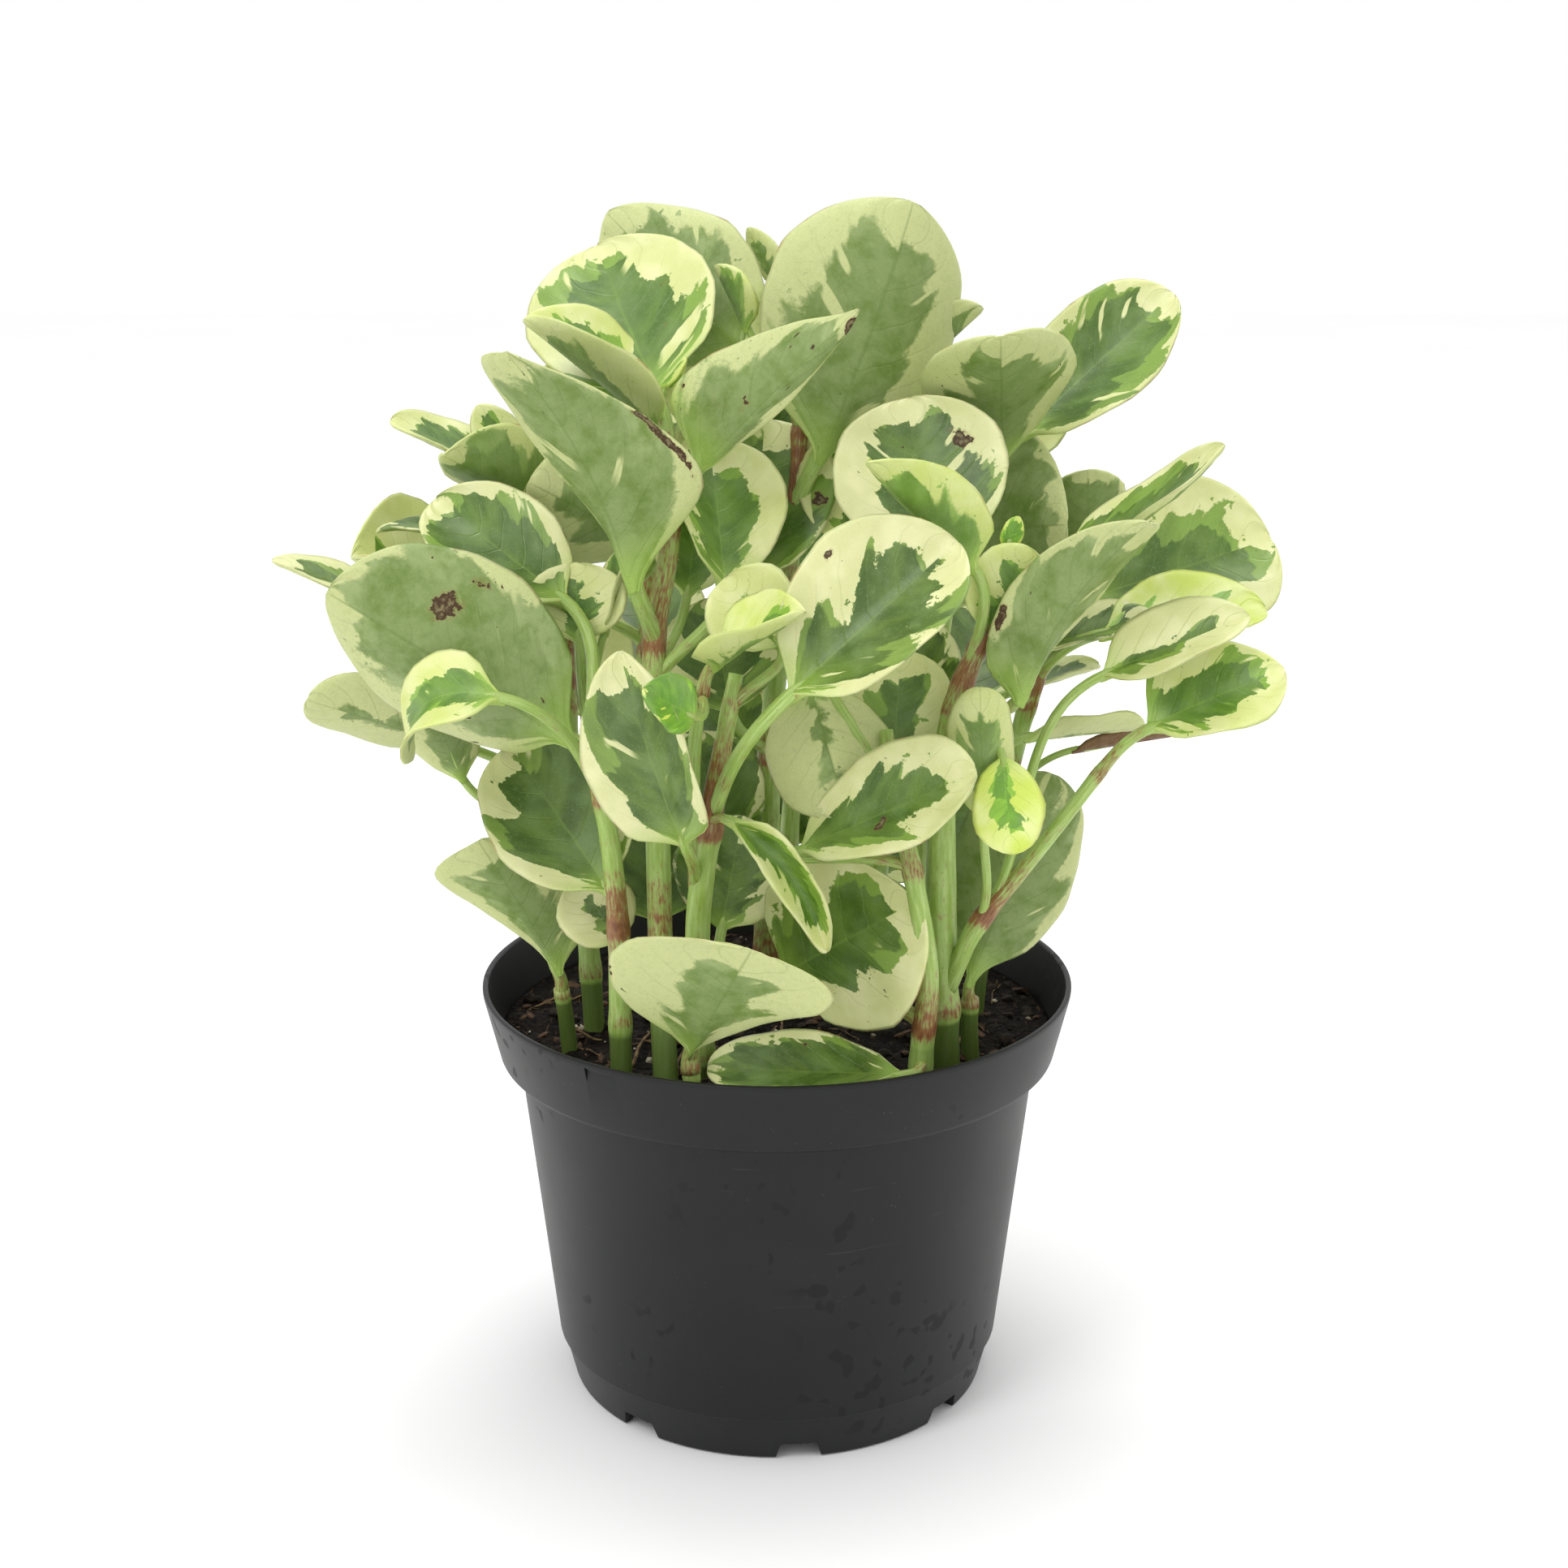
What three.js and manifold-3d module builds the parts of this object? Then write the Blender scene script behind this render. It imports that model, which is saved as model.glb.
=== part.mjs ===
import * as THREE from "three";
import { mergeVertices } from "three/addons/utils/BufferGeometryUtils.js";
import Module from "manifold-3d";

const wasm = await Module();
wasm.setup();

// A variegated peperomia in a round nursery pot. Millimetres, +Z up.
// The origin is on the pot's axis, in the plane that the pot stands on, and the front looks along -Y.

// Pot
const POT_SIDES = 40;
const POT_HEIGHT = 117.7;
const RIM_RADIUS = 82.5;
const COLLAR_FOOT_RADIUS = 77.8;
const COLLAR_FOOT_HEIGHT = 97.5;
const BODY_TOP_RADIUS = 72.8;
const SEAM_RADIUS = 62.6;
const SEAM_HEIGHT = 13.3;
const FOOT_RADIUS = 59.3;
const WALL = 1.6;
const RIM_ROUNDING = 0.8;
const SEAM_STEP = 0.8;
const FLOOR_RADIUS = 60;
const FLOOR_UNDERSIDE = 3.8;
const FLOOR_TOP = 6.4;
const FOOT_RING = 3;
const NOTCH_COUNT = 8;
const NOTCH_WIDTH = 13;
const NOTCH_HEIGHT = 4.8;
const NOTCH_SLANT = 1.5;
const NOTCH_DEPTH = 12;
const NOTCH_TURN = 0.1;
const DRAIN_INNER_RADIUS = 48;
const DRAIN_OUTER_RADIUS = 56;
const TAG_SLOT = { width: 9.6, height: 5.8, depth: 0.5, level: 113.6, angle: -2.15 };

// Soil
const SOIL_EDGE_HEIGHT = 103.5;
const SOIL_RISE = 3;
const SEAT_GAP = 0.3;
const STEM_HOLE_GAP = 0.35;

// Stems, stalks and blades
const STEM_SIDES = 7;
const STEM_STEP = 20;
const STALK_SIDES = 4;
const STALK_STEPS = 3;
const STALK_RADIUS = 0.8;
const STALK_SHARE_OF_WIDTH = 0.026;
const STALK_SINK = 3;
const BLADE_THICKNESS = 1.3;
const SMALLEST_DETAIL = 0.3;
const ROUNDNESS = 0.62;
const NECK = 0.18;
const NECK_WIDTH = 0.12;
const LARGE_BLADE = 33;
const LARGE_STATIONS = [0.03, 0.24, 0.56, 0.86, 0.985];
const SMALL_STATIONS = [0.03, 0.3, 0.75, 0.97];

// Every leafy stem, with its branches and its leaves.
// stems: points from the root up, with the radius there as the fourth number.
// leaves: name, base of the blade, its tip,
// [width, share of the length where it is widest, turn, arch, fold, curl, twist],
// [stem it grows on, share of that stem's length where it leaves].
// turn is 0 where the upper face looks to the front and 180 where the underside does. fold lifts both
// halves along the midrib, curl bends them on from there, and twist turns the tip against the base.
// The arch is a share of the blade's length. Angles are in degrees.
// Last, for a blade with uneven halves: the share of the length over which its base narrows into the
// stalk, how far its midrib sweeps sideways, and each half's share of the full width and where it is widest.
const SHOOTS = [
  {
    node: "shoot_crown_left",
    stems: [
      [[-28, -52, 88, 3.4], [-30, -46, 128, 3.3], [-31, -38, 185, 3.2], [-31, -34, 222, 2.9],
        [-27, -32, 246, 2.5], [-27, -26, 270, 1.9]],
    ],
    leaves: [
      ["crown_round", [-30, -22, 281], [-48, 14, 317], [52, 0.5, 0, 0, 5, 20, 0], [0, 0.97]],
      ["crown_cup", [-28, -22, 273], [-63, -30, 301], [42, 0.5, 75, 0, 25, 20, 0], [0, 0.92]],
      ["centre_upper_left", [-13, -33, 233], [-18, -10, 269], [38, 0.6, 30, 0, 20, 15, 0], [0, 0.66]],
      ["crown_fold", [-20, -33, 264], [20, -45, 305], [42, 0.42, -180, 0, 15, 15, -30], [0, 0.88],
        { neck: 0.1, halves: [[0.2, 0.5], [1, 0.26]] }],
      ["front_left_long", [-35, -42, 235], [-64, -58, 296], [60, 0.48, 148, 0.06, 12, 20, 0], [0, 0.72],
        { neck: 0.3, sweep: -0.03, halves: [[0.85, 0.24], [0.56, 0.8]] }],
      ["crown_back_left", [-9, 5, 290], [-46, 30, 325], [44, 0.47, 170, 0, 5, 20, 0], [0, 0.99]],
      ["crown_bud", [-29, -22, 283], [-23, -20, 291], [7, 0.5, 90, 0, 20, 20, 0], [0, 0.99]],
      ["inner_left", [-32, -18, 138], [-34, -14, 168], [32, 0.55, 5, 0, 5, 15, 0], [0, 0.22]],
      ["inner_crown", [-24, -10, 226], [-20, 0, 256], [26, 0.6, 10, 0, 10, 15, 0], [0, 0.66]],
    ],
  },
  {
    node: "shoot_crown_right",
    stems: [
      [[-3, 6, 88, 3.8], [-3, 4, 130, 3.6], [-2, 0, 180, 3.2], [2, -4, 225, 2.8],
        [5, -6, 250, 2.4], [6, -6, 272, 1.8]],
    ],
    leaves: [
      ["crown_right_big", [10, -12, 263], [35, -2, 329], [60, 0.58, 205, -0.05, 8, 20, 0], [0, 0.88]],
      ["crown_right_fold", [14, 0, 266], [55, 12, 301], [32, 0.5, -100, 0, 30, 20, 0], [0, 0.9]],
      ["top_small_back", [-7, -4, 296], [-16, -2, 313], [18, 0.5, 100, 0, 20, 20, 0], [0, 0.99]],
      ["top_tiny", [1, 28, 305], [-8, 32, 321], [10, 0.5, 150, 0, 20, 20, 0], [0, 0.99]],
      ["back_small_dark", [1, 8, 262], [-4, 14, 283], [20, 0.5, 10, 0, 10, 20, 0], [0, 0.85]],
      ["centre_back_upper", [-7, -16, 230], [-3, 2, 273], [42, 0.6, 0, 0, 5, 20, 0], [0, 0.68]],
      ["centre_back_cream", [18, -12, 240], [18, -2, 271], [26, 0.55, 0, 0, 5, 15, 0], [0, 0.72]],
      ["inner_middle", [-14, -6, 150], [-22, 0, 188], [32, 0.6, 0, 0, 5, 15, 0], [0, 0.3]],
      ["inner_upper", [-12, -10, 194], [-18, -4, 226], [34, 0.6, 10, 0, 10, 15, 0], [0, 0.5]],
    ],
  },
  {
    node: "shoot_right_upper",
    stems: [
      [[24, -8, 88, 3.2], [26, -6, 130, 3], [32, 0, 180, 2.8], [42, 6, 220, 2.5], [53, 6, 250, 1.9]],
    ],
    leaves: [
      ["right_upper_a", [60, 4, 262], [56, -28, 297], [42, 0.6, 180, 0, 5, 20, 0], [0, 0.98]],
      ["right_upper_b", [64, 4, 267], [105, 10, 305], [34, 0.57, -20, 0, 10, 20, 0], [0, 0.95]],
      ["right_mid_back", [42, 10, 241], [77, -6, 246], [56, 0.55, -170, 0, 10, 15, 0], [0, 0.86]],
      ["right_small_dark", [86, 18, 234], [84, 12, 258], [24, 0.55, 180, 0, 5, 20, 0], [0, 0.8]],
      ["centre_right_round", [41, -36, 240], [33, -14, 280], [47, 0.55, 0, 0, 5, 20, 0], [0, 0.8]],
      ["right_centre_dark", [42, -20, 198], [35, -16, 223], [22, 0.55, 0, 0, 10, 20, 0], [0, 0.55]],
    ],
  },
  {
    node: "shoot_centre",
    stems: [
      [[-19, -40, 88, 3.4], [-20, -47, 122, 3.3], [-20, -54, 152, 3.2], [-16, -57, 182, 3],
        [-13, -56, 200, 2.3], [-10, -52, 216, 1.9]],
      [[-20, -54, 155, 1.9], [-21, -58, 180, 1.9], [-20, -60, 202, 1.7], [-18, -62, 214, 1.4]],
    ],
    leaves: [
      ["centre_big", [2, -72, 214], [44, -62, 251], [46, 0.57, -28, 0, 18, 15, 0], [0, 0.7]],
      ["centre_twist", [-13, -63, 182], [13, -70, 149], [19, 0.5, 0, 0.05, 35, 45, 30], [0, 0.69],
        { sweep: -0.1 }],
      ["front_centre_left", [-22, -66, 174], [-37, -75, 227], [33, 0.5, -25, 0.05, 20, 15, 0], [1, 0.1]],
      ["centre_small_yellow", [-16, -61, 220], [7, -74, 236], [34, 0.38, -75, 0, 20, 20, 0], [1, 0.98]],
      ["centre_cream_left", [2, -50, 222], [-13, -40, 238], [26, 0.55, 0, 0, 10, 20, 0], [0, 0.93]],
      ["small_bright", [-19, -79, 211], [-31, -89, 221], [15, 0.5, 20, 0, 10, 20, 0], [1, 0.95]],
      ["inner_low", [-15, -28, 139], [-9, -24, 171], [32, 0.55, -10, 0, 5, 15, 0], [0, 0.18]],
    ],
  },
  {
    node: "shoot_left_front",
    stems: [
      [[-41, -44, 88, 3], [-41, -46, 125, 2.9], [-41, -49, 150, 2.8], [-43, -50, 175, 2.5],
        [-47, -48, 195, 2.1]],
    ],
    leaves: [
      ["left_front_big", [-50, -48, 197], [-113, -42, 235], [57, 0.55, 155, 0, 20, 15, 0], [0, 0.97]],
      ["left_curl", [-66, -62, 212], [-91, -54, 195], [30, 0.5, 50, 0.35, 10, 10, 0], [0, 0.88]],
      ["left_low_dark", [-42, -50, 157], [-70, -30, 192], [40, 0.55, 10, 0, 10, 20, 0], [0, 0.55]],
      ["left_small_cream", [-51, -28, 218], [-52, -23, 239], [28, 0.55, 0, 0, 5, 20, 0], [0, 0.98]],
      ["left_round", [-53, -29, 229], [-89, -15, 254], [42, 0.55, 30, 0, 10, 20, 0], [0, 0.97],
        { halves: [[1, 0.55], [0.8, 0.55]] }],
      ["small_dark_mid", [-45, -26, 220], [-38, -22, 243], [14, 0.5, -60, 0, 20, 20, 0], [0, 0.99]],
      ["low_left_pale", [-40, -42, 141], [-53, -38, 158], [22, 0.55, 0, 0, 5, 20, 0], [0, 0.3]],
    ],
  },
  {
    node: "shoot_left_back",
    stems: [
      [[-50, -12, 88, 3], [-52, -10, 130, 2.9], [-56, -6, 180, 2.6], [-58, 2, 215, 2.3], [-60, 8, 240, 1.8]],
    ],
    leaves: [
      ["left_pair_b", [-62, 6, 249], [-87, -10, 265], [34, 0.5, 130, 0, 20, 20, 0], [0, 0.95]],
      ["left_pair_a", [-70, 14, 256], [-103, 5, 272], [22, 0.55, 60, 0, 10, 15, 0], [0, 0.98]],
      ["left_peek", [-68, 10, 258], [-81, 14, 275], [14, 0.5, 0, 0, 10, 20, 0], [0, 0.99]],
      ["left_mid_cream", [-34, -6, 241], [-65, -10, 258], [44, 0.55, 150, 0, 10, 20, 0], [0, 0.8]],
      ["left_far_round", [-86, 2, 228], [-112, -12, 238], [46, 0.5, 60, 0, 30, 20, 0], [0, 0.75]],
      ["left_small_dark", [-85, -14, 243], [-105, -12, 245], [14, 0.5, 70, 0.1, 10, 10, 0], [0, 0.85]],
      ["left_far_narrow", [-105, 8, 222], [-136, 2, 235], [16, 0.5, 60, 0, 10, 20, 0], [0, 0.7]],
      ["left_low_cream", [-88, -5, 186], [-124, -20, 202], [30, 0.6, 130, 0, 5, 15, 0], [0, 0.5]],
      ["left_behind_curl", [-84, -16, 178], [-92, -20, 202], [20, 0.6, 180, 0, 5, 20, 0], [0, 0.45]],
      ["left_low_back", [-63, -22, 187], [-70, -22, 204], [18, 0.55, 180, 0, 5, 20, 0], [0, 0.5]],
    ],
  },
  {
    node: "shoot_left_low",
    stems: [
      [[-56, -24, 88, 2.2], [-57, -26, 112, 2.2], [-58, -29, 124, 1.9]],
    ],
    leaves: [
      ["left_bottom_cream", [-58, -30, 128], [-79, -26, 165], [40, 0.6, 180, 0, 5, 15, 0], [0, 0.95],
        { neck: 0.2, halves: [[0.95, 0.42], [0.8, 0.9]] }],
    ],
  },
  {
    node: "shoot_front_low",
    stems: [
      [[-21, -60, 88, 2.4], [-21, -62, 104, 2.4], [-22, -63, 115, 2.1]],
    ],
    leaves: [
      ["front_bottom", [-22, -62, 119], [-6, -88, 156], [60, 0.55, 192, 0, 0, -8, 0], [0, 0.95],
        { neck: 0.2, halves: [[0.8, 0.86], [1, 0.6]] }],
    ],
  },
  {
    node: "shoot_right_front",
    stems: [
      [[37, -50, 88, 3.1], [38, -52, 116, 3.1], [39, -54, 136, 2.9], [35, -55, 163, 2.5], [29, -50, 190, 2.1],
        [28, -46, 200, 1.7]],
    ],
    leaves: [
      ["right_low_front", [4, -52, 169], [49, -72, 196], [32, 0.66, -28, 0, 18, 15, 0], [0, 0.68]],
      ["centre_low_cream", [8, -40, 212], [18, -56, 180], [34, 0.55, 180, 0, 5, 20, 0], [0, 0.8]],
      ["centre_right_back", [30, -38, 184], [32, -28, 217], [30, 0.6, 10, 0, 5, 20, 0], [0, 0.85]],
      ["centre_low_round", [1, -30, 128], [36, -56, 158], [52, 0.55, 0, 0, 5, 20, 0], [0, 0.3]],
      ["front_soil_leaf", [35, -61, 112], [-18, -59, 113], [28, 0.6, 54, 0, 5, 10, 0], [0, 0.2]],
    ],
  },
  {
    node: "shoot_right_main",
    stems: [
      [[45, -36, 88, 4.8], [44, -38, 118, 4.7], [43, -40, 150, 4.2], [43, -42, 190, 3.4], [47, -42, 210, 2.8],
        [53, -40, 224, 2.2]],
      [[45, -40, 128, 2.6], [52, -45, 147, 2.4], [62, -44, 160, 2.1], [73, -40, 173, 1.9],
        [84, -37, 187, 1.7]],
    ],
    leaves: [
      ["right_s_upper", [52, -58, 178], [50, -62, 215], [18, 0.6, 180, 0, 5, 20, 0], [1, 0.3]],
      ["right_s_lower", [56, -60, 198], [58, -72, 175], [19, 0.6, 0, 0, 5, 20, 0], [0, 0.75]],
      ["centre_right_bent", [50, -45, 241], [22, -60, 270], [32, 0.5, 110, 0, 20, 20, 0], [0, 0.9]],
      ["right_cream_mid", [54, -40, 222], [63, -38, 246], [24, 0.55, 0, 0, 5, 20, 0], [0, 0.97]],
      ["right_bud", [58, -36, 244], [61, -36, 253], [6, 0.5, 0, 0, 5, 20, 0], [0, 0.99]],
      ["right_mid_fold", [60, -50, 207], [90, -58, 255], [40, 0.5, -150, 0.12, 25, 15, 0], [0, 0.85],
        { neck: 0.1, halves: [[0.6, 0.75], [0.75, 0.38]] }],
      ["right_arm", [94, -42, 199], [128, -46, 216], [31, 0.6, -30, 0, 10, 15, 0], [1, 0.98],
        { neck: 0.16, halves: [[1.08, 0.42], [0.9, 0.66]] }],
      ["right_white_fold", [82, -38, 212], [119, -44, 229], [24, 0.5, -40, 0, 15, 20, 0], [1, 0.35]],
    ],
  },
  {
    node: "shoot_right_low",
    stems: [
      [[54, -28, 88, 2.4], [52, -30, 112, 2.4], [52, -31, 122, 2.1]],
    ],
    leaves: [
      ["right_low_big", [51, -32, 125], [74, -14, 180], [36, 0.6, 180, 0, 10, 15, 0], [0, 0.95],
        { neck: 0.25 }],
    ],
  },
  {
    node: "shoot_right_back",
    stems: [
      [[54, 0, 88, 3.2], [58, 4, 130, 3], [63, 2, 170, 2.7], [69, -4, 200, 2.4], [76, -6, 222, 1.9]],
    ],
    leaves: [
      ["right_back_round", [82, 0, 224], [135, 12, 239], [50, 0.6, -20, 0, 5, 20, 0], [0, 0.95]],
      ["right_yellow", [85, -14, 218], [130, -10, 224], [34, 0.55, -50, 0, 10, 15, 0], [0, 0.85]],
      ["right_dark_flat", [67, -12, 213], [100, -12, 223], [22, 0.55, -60, 0, 10, 15, 0], [0, 0.8]],
      ["right_narrow_up", [72, -24, 241], [112, -36, 271], [26, 0.5, -70, -0.08, 10, 20, 0], [0, 0.97]],
      ["right_edge_on", [66, -14, 190], [99, -10, 192], [26, 0.55, -100, 0, 5, 10, 0], [0, 0.6]],
      ["right_dry", [80, -5, 184], [112, -2, 188], [10, 0.5, -90, 0, 30, 30, 0], [0, 0.55]],
    ],
  },
  {
    node: "shoot_back_left",
    stems: [
      [[-32, 16, 88, 3.2], [-34, 20, 130, 3], [-38, 26, 180, 2.7], [-36, 30, 220, 2.3], [-34, 32, 250, 1.8]],
    ],
    leaves: [
      ["back_left_a", [-52, 40, 180], [-68, 54, 212], [40, 0.58, 30, 0, 10, 20, 0], [0, 0.4]],
      ["back_left_b", [-36, 50, 186], [-46, 86, 214], [46, 0.58, 0, 0, 10, 20, 0], [0, 0.52]],
      ["back_left_c", [-62, 28, 220], [-90, 34, 244], [38, 0.58, 60, 0, 10, 20, 0], [0, 0.72]],
      ["back_left_d", [-28, 46, 236], [-22, 80, 266], [44, 0.58, 0, 0, 10, 20, 0], [0, 0.82]],
      ["back_left_e", [-46, 38, 258], [-52, 44, 292], [38, 0.58, 10, 0, 10, 20, 0], [0, 0.97]],
      ["back_left_f", [-26, 36, 264], [-10, 46, 304], [40, 0.58, -20, 0, 10, 20, 0], [0, 0.97]],
    ],
  },
  {
    node: "shoot_back_middle",
    stems: [
      [[3, 32, 88, 3.2], [3, 38, 125, 3], [5, 44, 165, 2.6], [11, 48, 195, 2]],
    ],
    leaves: [
      ["back_middle_a", [-4, 58, 156], [-26, 80, 180], [46, 0.58, 30, 0, 10, 20, 0], [0, 0.4]],
      ["back_middle_b", [24, 52, 128], [64, 68, 154], [44, 0.58, -30, 0, 10, 20, 0], [0, 0.35]],
      ["back_middle_c", [6, 60, 188], [-6, 91, 214], [44, 0.58, 0, 0, 10, 20, 0], [0, 0.8]],
      ["back_middle_d", [18, 58, 208], [24, 86, 243], [44, 0.58, 0, 0, 10, 20, 0], [0, 0.97]],
      ["back_middle_e", [3, 50, 138], [9, 55, 168], [22, 0.55, 10, 0, 10, 15, 0], [0, 0.25]],
    ],
  },
  {
    node: "shoot_back_right",
    stems: [
      [[38, 18, 88, 3.2], [40, 22, 130, 3], [44, 28, 180, 2.7], [48, 32, 220, 2.3], [52, 32, 250, 1.8]],
    ],
    leaves: [
      ["back_right_a", [64, 34, 190], [93, 38, 198], [20, 0.58, -70, 0, 10, 20, 0], [0, 0.5]],
      ["back_right_b", [54, 54, 180], [63, 88, 209], [44, 0.58, 0, 0, 10, 20, 0], [0, 0.58]],
      ["back_right_c", [72, 38, 222], [98, 48, 240], [36, 0.58, -60, 0, 10, 20, 0], [0, 0.78]],
      ["back_right_d", [42, 46, 236], [36, 78, 267], [42, 0.58, 0, 0, 10, 20, 0], [0, 0.88]],
      ["back_right_e", [60, 36, 252], [70, 46, 284], [38, 0.58, -10, 0, 10, 20, 0], [0, 0.97]],
      ["back_right_f", [36, 30, 246], [24, 34, 270], [30, 0.58, 20, 0, 10, 20, 0], [0, 0.97]],
    ],
  },
];

const FRONT = new THREE.Vector3(0, -0.96, 0.28).normalize();
const FOLIAGE = new THREE.MeshStandardMaterial({ color: 0x7f9b55, roughness: 0.45, metalness: 0 });
const PLASTIC = new THREE.MeshStandardMaterial({ color: 0x26282a, roughness: 0.5, metalness: 0 });
const EARTH = new THREE.MeshStandardMaterial({ color: 0x2e2520, roughness: 0.95, metalness: 0 });

// A closed body from a list of points and triangles, turned to face outward.
function body(points, triangles) {
  let volume = 0;
  for (const [a, b, c] of triangles) {
    volume += points[a].dot(new THREE.Vector3().crossVectors(points[b], points[c]));
  }
  const facing = volume > 0 ? triangles : triangles.map(([a, b, c]) => [a, c, b]);
  return new wasm.Manifold(new wasm.Mesh({
    numProp: 3,
    vertProperties: new Float32Array(points.flatMap((p) => [p.x, p.y, p.z])),
    triVerts: new Uint32Array(facing.flat()),
  }));
}

// A closed body from a geometry whose seams are merged first.
function bodyOf(geometry) {
  geometry.deleteAttribute("normal");
  geometry.deleteAttribute("uv");
  const merged = mergeVertices(geometry, 1e-3);
  const at = merged.getAttribute("position");
  const points = Array.from({ length: at.count }, (_, i) => new THREE.Vector3().fromBufferAttribute(at, i));
  const index = merged.getIndex().array;
  const triangles = [];
  for (let i = 0; i < index.length; i += 3) {
    const [a, b, c] = [index[i], index[i + 1], index[i + 2]];
    if (a !== b && b !== c && c !== a) triangles.push([a, b, c]);
  }
  return body(points, triangles);
}

// A round body about the pot's axis, from [radius, height] pairs that start and end on the axis.
function turned(profile) {
  const lathe = new THREE.LatheGeometry(profile.map(([r, z]) => new THREE.Vector2(r, z)), POT_SIDES);
  return bodyOf(lathe.rotateX(Math.PI / 2));
}

// The largest piece of a body, as a named mesh.
function part(name, solid, material) {
  const pieces = solid.decompose().sort((a, b) => b.volume() - a.volume());
  const { vertProperties, triVerts } = pieces[0].getMesh();
  const geometry = new THREE.BufferGeometry();
  geometry.setAttribute("position", new THREE.BufferAttribute(Float32Array.from(vertProperties), 3));
  geometry.setIndex(new THREE.BufferAttribute(Uint32Array.from(triVerts), 1));
  geometry.computeVertexNormals();
  const mesh = new THREE.Mesh(geometry, material);
  mesh.name = name;
  return mesh;
}

// Two triangles for each cell of a grid, all cut along the same diagonal.
function gridCells(rows, columns, first) {
  const cells = [];
  for (let i = 0; i < rows - 1; i++) {
    for (let j = 0; j < columns - 1; j++) {
      const a = first + i * columns + j;
      cells.push([a, a + 1, a + columns], [a + 1, a + columns + 1, a + columns]);
    }
  }
  return cells;
}

// A tube of rings about a line of centres, closed at both ends.
function tube(centres, radii, sides) {
  const points = [];
  let side = new THREE.Vector3(1, 0.2, 0);
  centres.forEach((centre, i) => {
    const before = centres[Math.max(i - 1, 0)];
    const after = centres[Math.min(i + 1, centres.length - 1)];
    const along = after.clone().sub(before).normalize();
    side = side.addScaledVector(along, -side.dot(along)).normalize();
    const other = new THREE.Vector3().crossVectors(along, side);
    for (let j = 0; j < sides; j++) {
      const angle = (2 * Math.PI * j) / sides;
      const point = centre.clone().addScaledVector(side, Math.cos(angle) * radii[i]);
      points.push(point.addScaledVector(other, Math.sin(angle) * radii[i]));
    }
  });
  const triangles = [];
  for (let i = 0; i < centres.length - 1; i++) {
    for (let j = 0; j < sides; j++) {
      const [a, b] = [i * sides + j, i * sides + ((j + 1) % sides)];
      triangles.push([a, b, a + sides], [b, b + sides, a + sides]);
    }
  }
  const last = (centres.length - 1) * sides;
  for (let j = 1; j < sides - 1; j++) {
    triangles.push([0, j + 1, j], [last, last + j, last + j + 1]);
  }
  return body(points, triangles);
}

// A stem's smooth line, and its thickness along it.
class Stem {
  constructor(table) {
    this.table = table;
    this.curve = new THREE.CatmullRomCurve3(
      table.map(([x, y, z]) => new THREE.Vector3(x, y, z)), false, "centripetal");
  }

  // The centres and radii of rings, each ring moved out by a gap and the root lowered by it.
  rings(gap) {
    const centres = [];
    const radii = [];
    this.table.slice(1).forEach((end, k) => {
      const start = this.table[k];
      const run = Math.hypot(end[0] - start[0], end[1] - start[1], end[2] - start[2]);
      const steps = Math.max(1, Math.round(run / STEM_STEP));
      for (let i = k === 0 ? 0 : 1; i <= steps; i++) {
        const share = i / steps;
        centres.push(this.curve.getPoint((k + share) / (this.table.length - 1)));
        radii.push(start[3] + (end[3] - start[3]) * share + gap);
      }
    });
    centres[0].z -= gap;
    return [centres, radii];
  }

  solid(gap = 0) {
    return tube(...this.rings(gap), STEM_SIDES);
  }
}

// The share of its full width that a blade has at a share of its length.
function outline(along, widest) {
  const base = ROUNDNESS * Math.sqrt(widest / (1 - widest));
  const tip = ROUNDNESS * Math.sqrt((1 - widest) / widest);
  const top = widest ** base * (1 - widest) ** tip;
  return (along ** base * (1 - along) ** tip) / top;
}

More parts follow.
